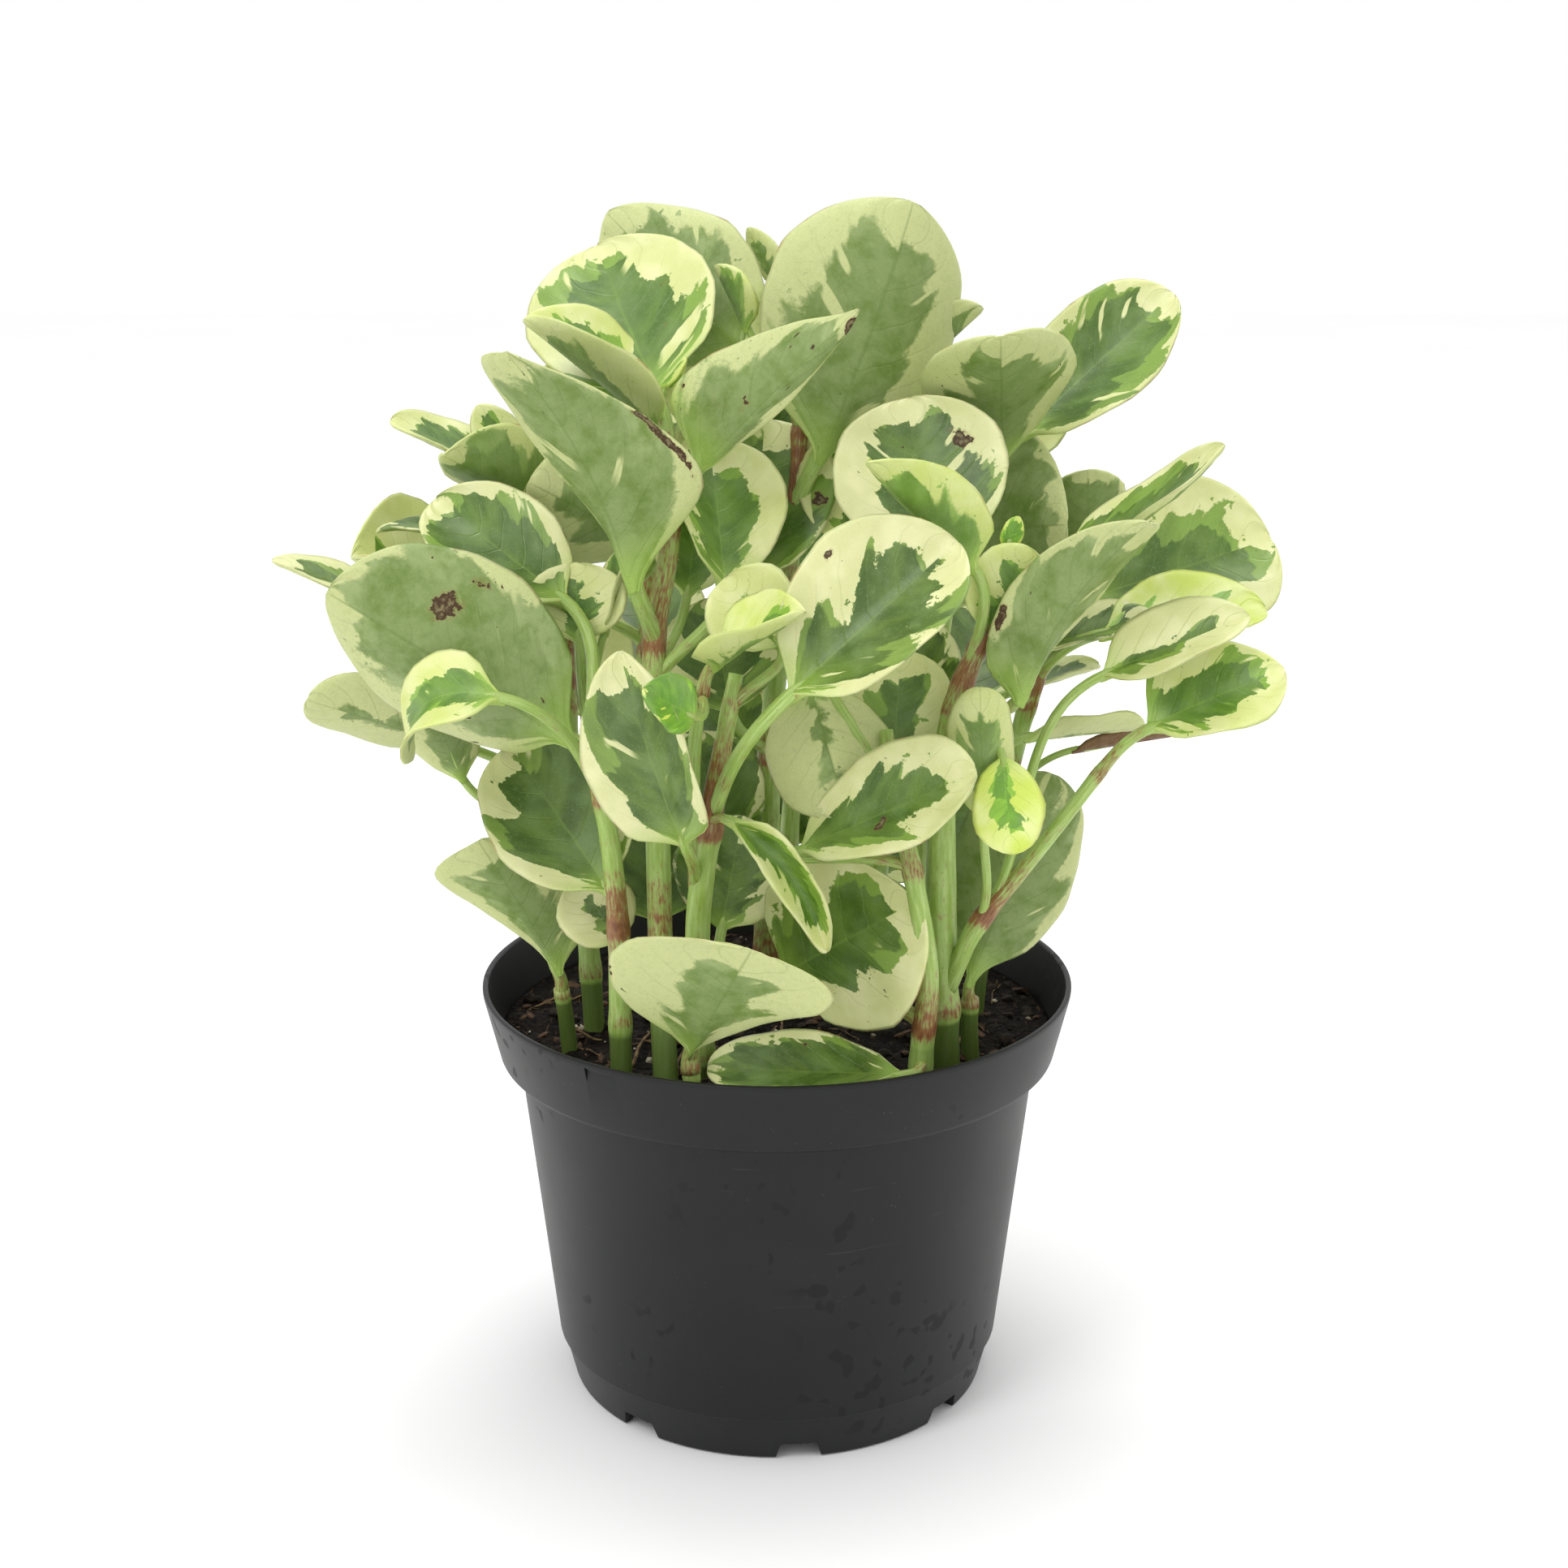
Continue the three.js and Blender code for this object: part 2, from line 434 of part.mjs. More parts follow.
// A leaf: the line from the blade's base to its tip, and the way that its upper face looks.
class Leaf {
  constructor([, base, tip, [width, widest, turn, arch, fold, curl, twist], [stem, share], form = {}]) {
    const { neck = NECK, sweep = 0, halves = [[1, widest], [1, widest]] } = form;
    Object.assign(this, { width, arch, stem, share, neck, sweep, halves });
    [this.turn, this.fold, this.curl, this.twist] = [turn, fold, curl, twist].map(THREE.MathUtils.degToRad);
    this.base = new THREE.Vector3(...base);
    this.along = new THREE.Vector3(...tip).sub(this.base);
    this.length = this.along.length();
    this.along.normalize();
    const facing = FRONT.clone().addScaledVector(this.along, -FRONT.dot(this.along)).normalize();
    const side = new THREE.Vector3().crossVectors(this.along, facing);
    this.normal = facing.multiplyScalar(Math.cos(this.turn)).addScaledVector(side, Math.sin(this.turn));
    this.across = new THREE.Vector3().crossVectors(this.along, this.normal);
  }

  // A point of the blade's middle surface and the surface's normal there.
  // along runs from 0 at the base to 1 at the tip, across from -1 to 1.
  surface(along, across) {
    const slope = 4 * this.arch * (1 - 2 * along);
    const up = this.normal.clone().addScaledVector(this.along, -slope).normalize();
    const turn = this.twist * (along - 0.5);
    const side = this.across.clone().multiplyScalar(Math.cos(turn)).addScaledVector(up, -Math.sin(turn));
    up.multiplyScalar(Math.cos(turn)).addScaledVector(this.across, Math.sin(turn));
    const [part, widest] = this.halves[across < 0 ? 0 : 1];
    const opening = THREE.MathUtils.smoothstep(along, 0, this.neck);
    const half = (this.width / 2) * part * outline(along, widest) * (NECK_WIDTH + (1 - NECK_WIDTH) * opening);
    const curl = this.curl || 1e-3;
    const angle = this.fold + curl * Math.abs(across);
    const hand = Math.sign(across);
    const point = this.base.clone()
      .addScaledVector(this.along, this.length * along)
      .addScaledVector(this.normal, this.length * this.arch * 4 * along * (1 - along))
      .addScaledVector(this.across, this.length * this.sweep * 4 * along * (1 - along))
      .addScaledVector(side, (hand * half * (Math.sin(angle) - Math.sin(this.fold))) / curl)
      .addScaledVector(up, (half * (Math.cos(this.fold) - Math.cos(angle))) / curl);
    const normal = up.multiplyScalar(Math.cos(angle)).addScaledVector(side, -Math.sin(angle) * hand);
    return [point, across === 0 ? up : normal];
  }

  blade() {
    const stations = this.width < LARGE_BLADE ? SMALL_STATIONS : LARGE_STATIONS;
    const columns = this.width < LARGE_BLADE ? [-1, 0, 1] : [-1, -0.5, 0, 0.5, 1];
    const upper = [];
    const lower = [];
    for (const along of stations) {
      for (const across of columns) {
        const [point, normal] = this.surface(along, across);
        upper.push(point.clone().addScaledVector(normal, BLADE_THICKNESS / 2));
        lower.push(point.addScaledVector(normal, -BLADE_THICKNESS / 2));
      }
    }
    const [rows, wide, count] = [stations.length, columns.length, upper.length];
    const triangles = gridCells(rows, wide, 0);
    gridCells(rows, wide, count).forEach(([a, b, c]) => triangles.push([a, c, b]));
    const rim = [];
    for (let j = 0; j < wide - 1; j++) rim.push([j + 1, j], [count - wide + j, count - wide + j + 1]);
    for (let i = 0; i < rows - 1; i++) {
      rim.push([i * wide, (i + 1) * wide], [(i + 2) * wide - 1, (i + 1) * wide - 1]);
    }
    rim.forEach(([a, b]) => triangles.push([a, b, b + count], [a, b + count, a + count]));
    return body([...upper, ...lower], triangles);
  }

  // The leaf's stalk, which bends out of its stem and runs on under the blade.
  stalk(stems) {
    const { curve } = stems[this.stem];
    const root = curve.getPointAt(this.share);
    const start = this.along.clone()
      .addScaledVector(this.normal, 4 * this.arch)
      .addScaledVector(this.across, 4 * this.sweep)
      .normalize();
    const straight = this.base.clone().sub(root);
    const run = straight.length() * 0.35;
    const leaving = curve.getTangentAt(this.share).multiplyScalar(0.6);
    leaving.addScaledVector(straight.normalize(), 0.4);
    const bend = new THREE.CubicBezierCurve3(
      root,
      root.clone().addScaledVector(leaving, run),
      this.base.clone().addScaledVector(start, -run),
      this.base.clone().addScaledVector(start, STALK_SINK),
    );
    const centres = bend.getPoints(STALK_STEPS);
    const radius = STALK_RADIUS + STALK_SHARE_OF_WIDTH * this.width;
    return tube(centres, centres.map(() => radius), STALK_SIDES);
  }
}

function makeShoot(table) {
  const stems = table.stems.map((points) => new Stem(points));
  const leaves = table.leaves.map((row) => new Leaf(row));
  const pieces = stems.map((stem) => stem.solid());
  leaves.forEach((leaf) => pieces.push(leaf.stalk(stems), leaf.blade()));
  const whole = pieces.reduce((sum, piece) => sum.add(piece)).simplify(SMALLEST_DETAIL);
  return part(table.node, whole, FOLIAGE);
}

// A block that is narrower at its top, set across a radius of the pot.
function notch(angle) {
  const shape = new THREE.Shape([
    new THREE.Vector2(-NOTCH_WIDTH / 2, -1),
    new THREE.Vector2(NOTCH_WIDTH / 2, -1),
    new THREE.Vector2(NOTCH_WIDTH / 2 - NOTCH_SLANT, NOTCH_HEIGHT),
    new THREE.Vector2(NOTCH_SLANT - NOTCH_WIDTH / 2, NOTCH_HEIGHT),
  ]);
  const block = new THREE.ExtrudeGeometry(shape, { depth: NOTCH_DEPTH, bevelEnabled: false });
  block.rotateX(Math.PI / 2).translate(0, FOOT_RADIUS + 6, 0);
  return bodyOf(block.rotateZ(angle));
}

function drain(angle) {
  const length = DRAIN_OUTER_RADIUS - DRAIN_INNER_RADIUS;
  const block = new THREE.BoxGeometry(NOTCH_WIDTH - 2 * NOTCH_SLANT - 1, length, FLOOR_TOP);
  block.translate(0, DRAIN_INNER_RADIUS + length / 2, FLOOR_TOP);
  return bodyOf(block.rotateZ(angle));
}

function makePot() {
  let pot = turned([
    [0, FLOOR_UNDERSIDE],
    [FOOT_RADIUS - FOOT_RING, FLOOR_UNDERSIDE],
    [FOOT_RADIUS - FOOT_RING, 0],
    [FOOT_RADIUS, 0],
    [SEAM_RADIUS, SEAM_HEIGHT],
    [SEAM_RADIUS + SEAM_STEP, SEAM_HEIGHT],
    [BODY_TOP_RADIUS, COLLAR_FOOT_HEIGHT],
    [COLLAR_FOOT_RADIUS, COLLAR_FOOT_HEIGHT],
    [RIM_RADIUS, POT_HEIGHT - RIM_ROUNDING],
    [RIM_RADIUS - RIM_ROUNDING / 2, POT_HEIGHT],
    [RIM_RADIUS - WALL, POT_HEIGHT],
    [COLLAR_FOOT_RADIUS - WALL, COLLAR_FOOT_HEIGHT + WALL],
    [BODY_TOP_RADIUS - WALL, COLLAR_FOOT_HEIGHT + WALL],
    [FLOOR_RADIUS, FLOOR_TOP],
    [0, FLOOR_TOP],
  ]);
  for (let i = 0; i < NOTCH_COUNT; i++) {
    const angle = NOTCH_TURN + (2 * Math.PI * i) / NOTCH_COUNT;
    pot = pot.subtract(notch(angle)).subtract(drain(angle));
  }
  const slope = (RIM_RADIUS - COLLAR_FOOT_RADIUS) / (POT_HEIGHT - RIM_ROUNDING - COLLAR_FOOT_HEIGHT);
  const radius = COLLAR_FOOT_RADIUS + slope * (TAG_SLOT.level - COLLAR_FOOT_HEIGHT);
  const slot = new THREE.BoxGeometry(TAG_SLOT.depth * 2, TAG_SLOT.width, TAG_SLOT.height);
  slot.rotateY(Math.atan(slope)).translate(radius, 0, TAG_SLOT.level).rotateZ(TAG_SLOT.angle);
  return part("pot", pot.subtract(bodyOf(slot)), PLASTIC);
}

function makeSoil() {
  const ledge = COLLAR_FOOT_HEIGHT + WALL;
  const wallSlope = (RIM_RADIUS - COLLAR_FOOT_RADIUS) / (POT_HEIGHT - ledge);
  const ledgeEdge = COLLAR_FOOT_RADIUS - WALL - SEAT_GAP;
  const edge = ledgeEdge + wallSlope * (SOIL_EDGE_HEIGHT - ledge);
  const surface = [1, 0.6, 0].map((share) => [
    edge * share,
    SOIL_EDGE_HEIGHT + SOIL_RISE * (1 - share ** 2),
  ]);
  const soil = turned([
    [0, FLOOR_TOP + SEAT_GAP],
    [FLOOR_RADIUS - SEAT_GAP, FLOOR_TOP + SEAT_GAP],
    [BODY_TOP_RADIUS - WALL - SEAT_GAP, ledge + SEAT_GAP],
    [ledgeEdge, ledge + SEAT_GAP],
    ...surface,
  ]);
  const holes = SHOOTS.map((shoot) => new Stem(shoot.stems[0]).solid(STEM_HOLE_GAP));
  return part("soil", holes.reduce((rest, hole) => rest.subtract(hole), soil), EARTH);
}

const group = new THREE.Group();
group.name = "potted_peperomia";
group.add(makePot(), makeSoil(), ...SHOOTS.map(makeShoot));

export default group;
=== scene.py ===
import logging
import math
from collections.abc import Callable, Iterable
from dataclasses import dataclass, field
from enum import Enum
from functools import cached_property

import bmesh
import bpy
import numpy as np
from mathutils import Matrix, Vector, noise


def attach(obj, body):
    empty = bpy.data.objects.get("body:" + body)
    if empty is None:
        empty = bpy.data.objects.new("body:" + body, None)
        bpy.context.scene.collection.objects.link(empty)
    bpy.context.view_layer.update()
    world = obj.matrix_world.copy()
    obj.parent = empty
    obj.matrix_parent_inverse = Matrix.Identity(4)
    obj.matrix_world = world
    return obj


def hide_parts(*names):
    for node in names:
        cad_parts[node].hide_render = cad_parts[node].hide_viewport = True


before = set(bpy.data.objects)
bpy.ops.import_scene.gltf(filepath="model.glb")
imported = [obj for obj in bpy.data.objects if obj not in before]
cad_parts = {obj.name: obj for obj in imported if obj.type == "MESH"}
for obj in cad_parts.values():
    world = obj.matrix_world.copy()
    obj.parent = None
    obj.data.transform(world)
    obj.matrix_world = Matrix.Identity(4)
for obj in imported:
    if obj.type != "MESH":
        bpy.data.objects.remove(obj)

LOG = logging.getLogger("potted_peperomia")
MM = 0.001
TURN = 2 * math.pi
FRONT = np.array([0.0, -0.96, 0.28])  # towards the camera
VEIN_SLANT = 0.34  # how far a side vein climbs towards the tip on its way out
VEIN_COUNT = 6.5  # side veins in each half of a leaf
NEAR_SEAM = 1e-4

Point = tuple[float, float, float]
Socket = bpy.types.NodeSocket


class Slot(Enum):
    """The record's material slots."""

    POT = "pot"
    SOIL = "soil"
    FOLIAGE = "foliage"


def colour(code: str) -> tuple[float, float, float, float]:
    """Turns a colour code such as "9fbf78" into the linear colour that a shader takes.

    Args:
        code: Six hexadecimal digits, as a paint program shows them.

    Returns:
        Red, green, blue and an alpha of 1.
    """
    parts = [int(code[i : i + 2], 16) / 255 for i in (0, 2, 4)]
    linear = [p / 12.92 if p <= 0.04045 else ((p + 0.055) / 1.055) ** 2.4 for p in parts]
    return (linear[0], linear[1], linear[2], 1.0)


def unit(vectors: np.ndarray) -> np.ndarray:
    """Scales each vector of an array to a length of 1."""
    return vectors / np.linalg.norm(vectors, axis=-1, keepdims=True)


def smooth(value: np.ndarray, low: float, high: float) -> np.ndarray:
    """Runs smoothly from 0 where a value is low to 1 where it is high."""
    share = np.clip((value - low) / (high - low), 0, 1)
    return share * share * (3 - 2 * share)


def bell(value: np.ndarray, width: float) -> np.ndarray:
    """A smooth bump of height 1 round zero."""
    return np.exp(-((value / width) ** 2))


def lengths(line: np.ndarray, power: float = 1.0) -> np.ndarray:
    """Adds up the steps between the points of a line, each raised to a power, from 0 at its start."""
    steps = np.linalg.norm(np.diff(line[:, :3], axis=0), axis=1)
    return np.concatenate([[0.0], np.cumsum(steps**power)])


@dataclass
class Skin:
    """Where the points of a shaped grid lie, in millimetres, and what the shader reads there.

    place holds the way across and along the piece and its seed, patch the same in centimetres,
    tone the green share, its lean and the youth, and marks the underside, the wear and the blush,
    which on a stem goes below zero for painted shade near its root.
    """

    points: np.ndarray
    place: np.ndarray
    patch: np.ndarray
    tone: np.ndarray
    marks: np.ndarray


Form = Callable[[np.ndarray, np.ndarray], Skin]


@dataclass
class Tissue:
    """One mesh in the making, of closed tubes and blades that carry their shader's values."""

    name: str
    mesh: bmesh.types.BMesh = field(default_factory=bmesh.new)

    def __post_init__(self) -> None:
        """Adds the layers that hold the shader's values."""
        layers = self.mesh.verts.layers.float_vector
        self.layers = {key: layers.new(key) for key in ("place", "patch", "tone", "marks")}

    def add(self, form: Form, around: int, along: int) -> None:
        """Adds a grid, shapes it as a closed tube and closes its two ends.

        Args:
            form: Gives the skin for shares of the way around and along.
            around: How many faces go around the tube.
            along: How many faces lie along it.
        """
        made = bmesh.ops.create_grid(self.mesh, x_segments=around, y_segments=along, size=1.0)["verts"]
        shares = (np.array([vert.co[:2] for vert in made]) + 1) / 2
        skin = form(shares[:, 0], shares[:, 1])
        keyed = [(self.layers[key], getattr(skin, key)) for key in self.layers]
        starts: dict[int, bmesh.types.BMVert] = {}
        for i, vert in enumerate(made):
            vert.co = skin.points[i] * MM
            for layer, values in keyed:
                vert[layer] = values[i]
            if shares[i, 0] < NEAR_SEAM:
                starts[round(shares[i, 1] * along)] = vert
        seam = {v: starts[round(s[1] * along)] for v, s in zip(made, shares) if s[0] > 1 - NEAR_SEAM}
        ends = [v for v, s in zip(made, shares) if v not in seam and not NEAR_SEAM < s[1] < 1 - NEAR_SEAM]
        bmesh.ops.weld_verts(self.mesh, targetmap=seam)
        open_edges = {edge for vert in ends for edge in vert.link_edges if edge.is_boundary}
        bmesh.ops.edgeloop_fill(self.mesh, edges=list(open_edges))

    def finish(self, material: bpy.types.Material, slot: Slot, node: str = "") -> bpy.types.Object:
        """Turns the mesh into a piece, which stands for a CAD node where one is named."""
        bmesh.ops.recalc_face_normals(self.mesh, faces=self.mesh.faces[:])
        return dressed(self.name, self.mesh, material, node)


def dressed(
    name: str, mesh: bmesh.types.BMesh, material: bpy.types.Material, node: str = ""
) -> bpy.types.Object:
    """Turns a finished bmesh into a smooth-shaded piece that rides on the object.

    Args:
        name: The piece's name.
        mesh: Its mesh in metres, which is freed.
        material: Its finish.
        node: The CAD node that it replaces, or nothing.

    Returns:
        The piece.
    """
    for face in mesh.faces:
        face.smooth = True
    data = bpy.data.meshes.new(name)
    mesh.to_mesh(data)
    mesh.free()
    data.materials.append(material)
    piece = bpy.data.objects.new(name, data)
    bpy.context.scene.collection.objects.link(piece)
    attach(piece, "root")
    if node:
        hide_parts(node)
    LOG.info("%s: %d faces", name, len(data.polygons))
    return piece


class Signal:
    """A number that a finish works out from nodes, which takes part in plain arithmetic."""

    def __init__(self, graph: "Graph", socket: Socket) -> None:
        """Ties a node's output to the finish that it belongs to."""
        self.graph, self.socket = graph, socket

    def __add__(self, other: object) -> "Signal":
        """Adds a number."""
        return self.graph.math("ADD", self, other)

    def __sub__(self, other: object) -> "Signal":
        """Takes a number away."""
        return self.graph.math("SUBTRACT", self, other)

    def __rsub__(self, other: object) -> "Signal":
        """Takes this number away from a plain one."""
        return self.graph.math("SUBTRACT", other, self)

    def __mul__(self, other: object) -> "Signal":
        """Multiplies by a number."""
        return self.graph.math("MULTIPLY", self, other)

    def __truediv__(self, other: object) -> "Signal":
        """Divides by a number."""
        return self.graph.math("DIVIDE", self, other)

    def around(self, size: float) -> "Signal":
        """Turns values round a half into values round zero, of a given size."""
        return (self - 0.5) * size

    def step(self, low: float, high: float) -> "Signal":
        """Runs smoothly from 0 to 1, or back where low is the larger.

        Args:
            low: Where the result is 0.
            high: Where it is 1.

        Returns:
            The result.
        """
        inputs = {"Value": self, "From Min": low, "From Max": high}
        made = self.graph.node("MapRange", inputs, interpolation_type="SMOOTHSTEP")
        return Signal(self.graph, made.outputs[0])


class Graph:
    """Lays out the nodes of one finish. Colours are codes such as "9fbf78"."""

    def __init__(self, name: str) -> None:
        """Starts a material with a bare principled shader.

        Args:
            name: The material's name.
        """
        self.material = bpy.data.materials.new(name)
        self.material.use_nodes = True
        self.tree = self.material.node_tree
        self.shader = self.tree.nodes["Principled BSDF"]

    def node(
        self, kind: str, inputs: dict[str | int, object] | None = None, **settings: object
    ) -> bpy.types.Node:
        """Adds a node.

        Args:
            kind: The node's type without its ShaderNode prefix.
            inputs: What goes into its sockets, by name or number.
            **settings: The node's own properties.

        Returns:
            The new node.
        """
        made = self.tree.nodes.new("ShaderNode" + kind)
        for key, value in settings.items():
            setattr(made, key, value)
        for key, value in (inputs or {}).items():
            self.put(made.inputs[key], value)
        return made

    def put(self, socket: Socket, value: object) -> None:
        """Links a socket, or sets it.

        Args:
            socket: The socket.
            value: What feeds it: a signal, another socket, a plain value or a colour code.
        """
        if isinstance(value, Signal):
            value = value.socket
        if isinstance(value, Socket):
            self.tree.links.new(value, socket)
        else:
            socket.default_value = colour(value) if isinstance(value, str) else value

    def math(self, operation: str, *values: object, clamp: bool = False) -> Signal:
        """Does one step of arithmetic on up to three numbers."""
        made = self.node("Math", dict(enumerate(values)), operation=operation, use_clamp=clamp)
        return Signal(self, made.outputs[0])

    def attribute(self, name: str) -> list[Signal]:
        """Reads a layer of the mesh.

        Args:
            name: The layer.

        Returns:
            Its three numbers.
        """
        source = self.node("Attribute", attribute_name=name)
        parts = self.node("SeparateXYZ", {0: source.outputs["Vector"]})
        return [Signal(self, output) for output in parts.outputs]

    def place(self) -> Socket:
        """The point's own place on the object."""
        return self.node("TexCoord").outputs["Object"]

    def vector(self, x: object, y: object, z: object) -> Socket:
        """Makes a vector of three numbers."""
        return self.node("CombineXYZ", {0: x, 1: y, 2: z}).outputs[0]

    def drawn(self, place: Socket, scale: Point, turn: Point = (0.0, 0.0, 0.0)) -> Socket:
        """Turns and stretches a place, which draws out what is read there."""
        return self.node("Mapping", {"Vector": place, "Rotation": turn, "Scale": scale}).outputs[0]

    def noise(self, place: Socket, scale: float, detail: float = 2.0, rough: float = 0.5) -> Signal:
        """Soft random values round a half."""
        inputs = {"Vector": place, "Scale": scale, "Detail": detail, "Roughness": rough}
        return Signal(self, self.node("TexNoise", inputs).outputs[0])

    def cells(self, place: Socket, scale: float) -> Signal:
        """The distance to the nearest of many scattered points."""
        return Signal(self, self.node("TexVoronoi", {"Vector": place, "Scale": scale}).outputs["Distance"])

    def blend(self, share: object, first: object, second: object, mode: str = "MIX") -> Socket:
        """Mixes two colours."""
        made = self.node("Mix", {0: share, 6: first, 7: second}, data_type="RGBA", blend_type=mode)
        return made.outputs[2]

    def bump(self, height: Signal, distance: float, strength: float = 1.0) -> None:
        """Gives the shader fine relief, of so many metres at full height."""
        inputs = {"Height": height, "Distance": distance, "Strength": strength}
        self.put(self.shader.inputs["Normal"], self.node("Bump", inputs).outputs[0])

    def finish(self, base: Socket, rough: object, **settings: object) -> bpy.types.Material:
        """Connects the shader and sets its plain values.

        Args:
            base: The base colour.
            rough: The roughness.
            **settings: Further inputs, by their names in small letters.

        Returns:
            The finished material.
        """
        self.put(self.shader.inputs["Base Color"], base)
        self.put(self.shader.inputs["Roughness"], rough)
        for key, value in settings.items():
            name = key.replace("_", " ").title().replace("Ior", "IOR")
            self.put(self.shader.inputs[name], value)
        return self.material


@dataclass(frozen=True)
class LeafFinish:
    """Waxy variegated leaf: green patches with ragged edges inside a cream margin."""

    cream: str = "d3d599"
    cream_pale: str = "f1f0c0"
    cream_young: str = "c8da58"
    green: str = "809d44"
    green_young: str = "8fc03a"
    deep: str = "415d17"
    deep_young: str = "649728"
    cream_below: str = "bfc688"
    green_below: str = "6a8433"
    silver_below: str = "94a56a"
    deep_below: str = "5b7628"
    # Grey-green painted sheen: glare laid into the deep green's colour, not a colour of the leaf.
    shade: str = "779157"
    neck: str = "a4c654"
    scar: str = "46301a"
    scab: str = "7d7350"
    speck: str = "4a3c22"
    rim: str = "9a6c3c"
    dried: str = "5a3d26"
    dried_pale: str = "8a6a44"
    roughness: float = 0.28

    def material(self) -> bpy.types.Material:
        """Builds the finish.

        Returns:
            One material for every leaf, which reads the layers that the leaves carry.
        """
        g = Graph("variegated_leaf")
        across, along, seed = g.attribute("place")
        wide, far, _ = g.attribute("patch")
        share, lean, youth = g.attribute("tone")
        below, wear, blemish = g.attribute("marks")
        size, hand = g.math("ABSOLUTE", across), g.math("SIGN", across)
        vein = along - g.math("POWER", size, 1.3) * VEIN_SLANT
        half = hand * 5.3 + seed
        patch = g.vector(wide, far, seed)

        def streaks(pitch: float, drift: float, offset: float, detail: float) -> Signal:
            """Random values that run out from the midrib along the side veins."""
            return g.noise(g.vector(vein * pitch, half + offset, size * drift), 1.0, detail)

        # Where the leaf is green, and where it is deep green.
        margin = g.math("MAXIMUM", size, along.step(0.62, 1.0) * 1.02)
        reach = lean * hand * share + share
        lobes = streaks(3.4, 0.8, 0.0, 1.0).around(1.5) + streaks(13.0, 2.0, 11.0, 2.0).around(0.34)
        edge = margin - reach - (lobes + g.noise(patch, 7.0, 3.0, 0.6).around(0.16))
        streaky = streaks(9.0, 1.1, 47.0, 2.0).step(0.66, 0.70)
        islet = (g.noise(patch, 3.2, 3.0, 0.6) + edge * -0.25).step(0.64, 0.66)
        blur = below * 0.035 + 0.014
        is_green = g.math("MAXIMUM", (edge / blur).step(1.0, -1.0), islet * edge.step(0.34, 0.3))
        is_green = is_green * (1.0 - streaky * size.step(0.12, 0.3))
        inner = streaks(4.4, 0.9, 23.0, 1.0).around(1.5) + streaks(16.0, 2.2, 31.0, 3.0).around(0.45)
        is_deep = ((margin - reach * 0.95 - inner) / blur).step(2.0, -2.0) * is_green

        # The upper face, with its clouds, streaks, freckles and veins, and a painted sheen on the deep green.
        cream = g.blend(youth, self.cream, self.cream_young)
        green = g.blend(youth, self.green, self.green_young)
        deep = g.blend(youth, self.deep, self.deep_young)
        drift = g.noise(patch, 1.1, 2.0)
        streak = streaks(7.0, 1.6, 71.0, 3.0)
        # Noise for patches of painted sheen on the upper face, and for the paler mottle of the underside.
        sheen_and_mottle = g.noise(patch, 7.0, 4.0, 0.65)
        cream = g.blend(drift.step(0.35, 0.75), cream, g.blend(0.5, cream, self.cream_pale))
        deep = g.blend(streak.step(0.35, 0.7), deep, g.blend(0.45, deep, green))
        # Painted sheen: in cloudy patches the deep green is paled towards a grey-green, standing in for glare.
        deep = g.blend(drift.step(0.4, 0.75) * 0.5, deep, self.shade)
        deep = g.blend(sheen_and_mottle.step(0.5, 0.8) * 0.45, deep, self.shade)
        green = g.blend(streak.step(0.6, 0.3) * 0.4, green, deep)
        face = g.blend(is_deep, g.blend(is_green, cream, green), deep)
        face = g.blend(g.cells(patch, 11.0).step(0.2, 0.05) * is_green * 0.22, face, cream)
        rib = size.step(0.03, 0.0)
        cycle = g.math("FRACT", g.noise(patch, 1.5, 1.0) * 0.35 + vein * VEIN_COUNT)
        side_vein = g.math("ABSOLUTE", cycle - 0.5).step(0.05, 0.0) * size.step(0.95, 0.5)
        face = g.blend(side_vein * 0.3, face, g.blend(0.45, face, green))
        face = g.blend(rib * along.step(0.95, 0.3) * 0.5, face, green)

        # The paler underside, and the neck that both faces share.
        cloud = g.noise(patch, 1.6, 3.0, 0.6) * 0.7 + streak * 0.3
        silver = g.blend(cloud.step(0.32, 0.6), self.green_below, self.silver_below)
        under = g.blend(is_green, self.cream_below, silver)
        under = g.blend(is_deep * 0.4, under, self.deep_below)
        # Here the same noise gives the underside its paler mottle.
        under = g.blend(sheen_and_mottle.step(0.45, 0.75) * 0.3, under, self.silver_below)
        under = g.blend(youth * 0.6, under, face)
        under = g.blend(rib * 0.4, under, self.deep_below)
        under = g.blend(side_vein * 0.12, under, self.deep_below)
        skin = g.blend(below, face, under)
        skin = g.blend(along.step(0.26, 0.02) * 0.65, skin, self.neck)

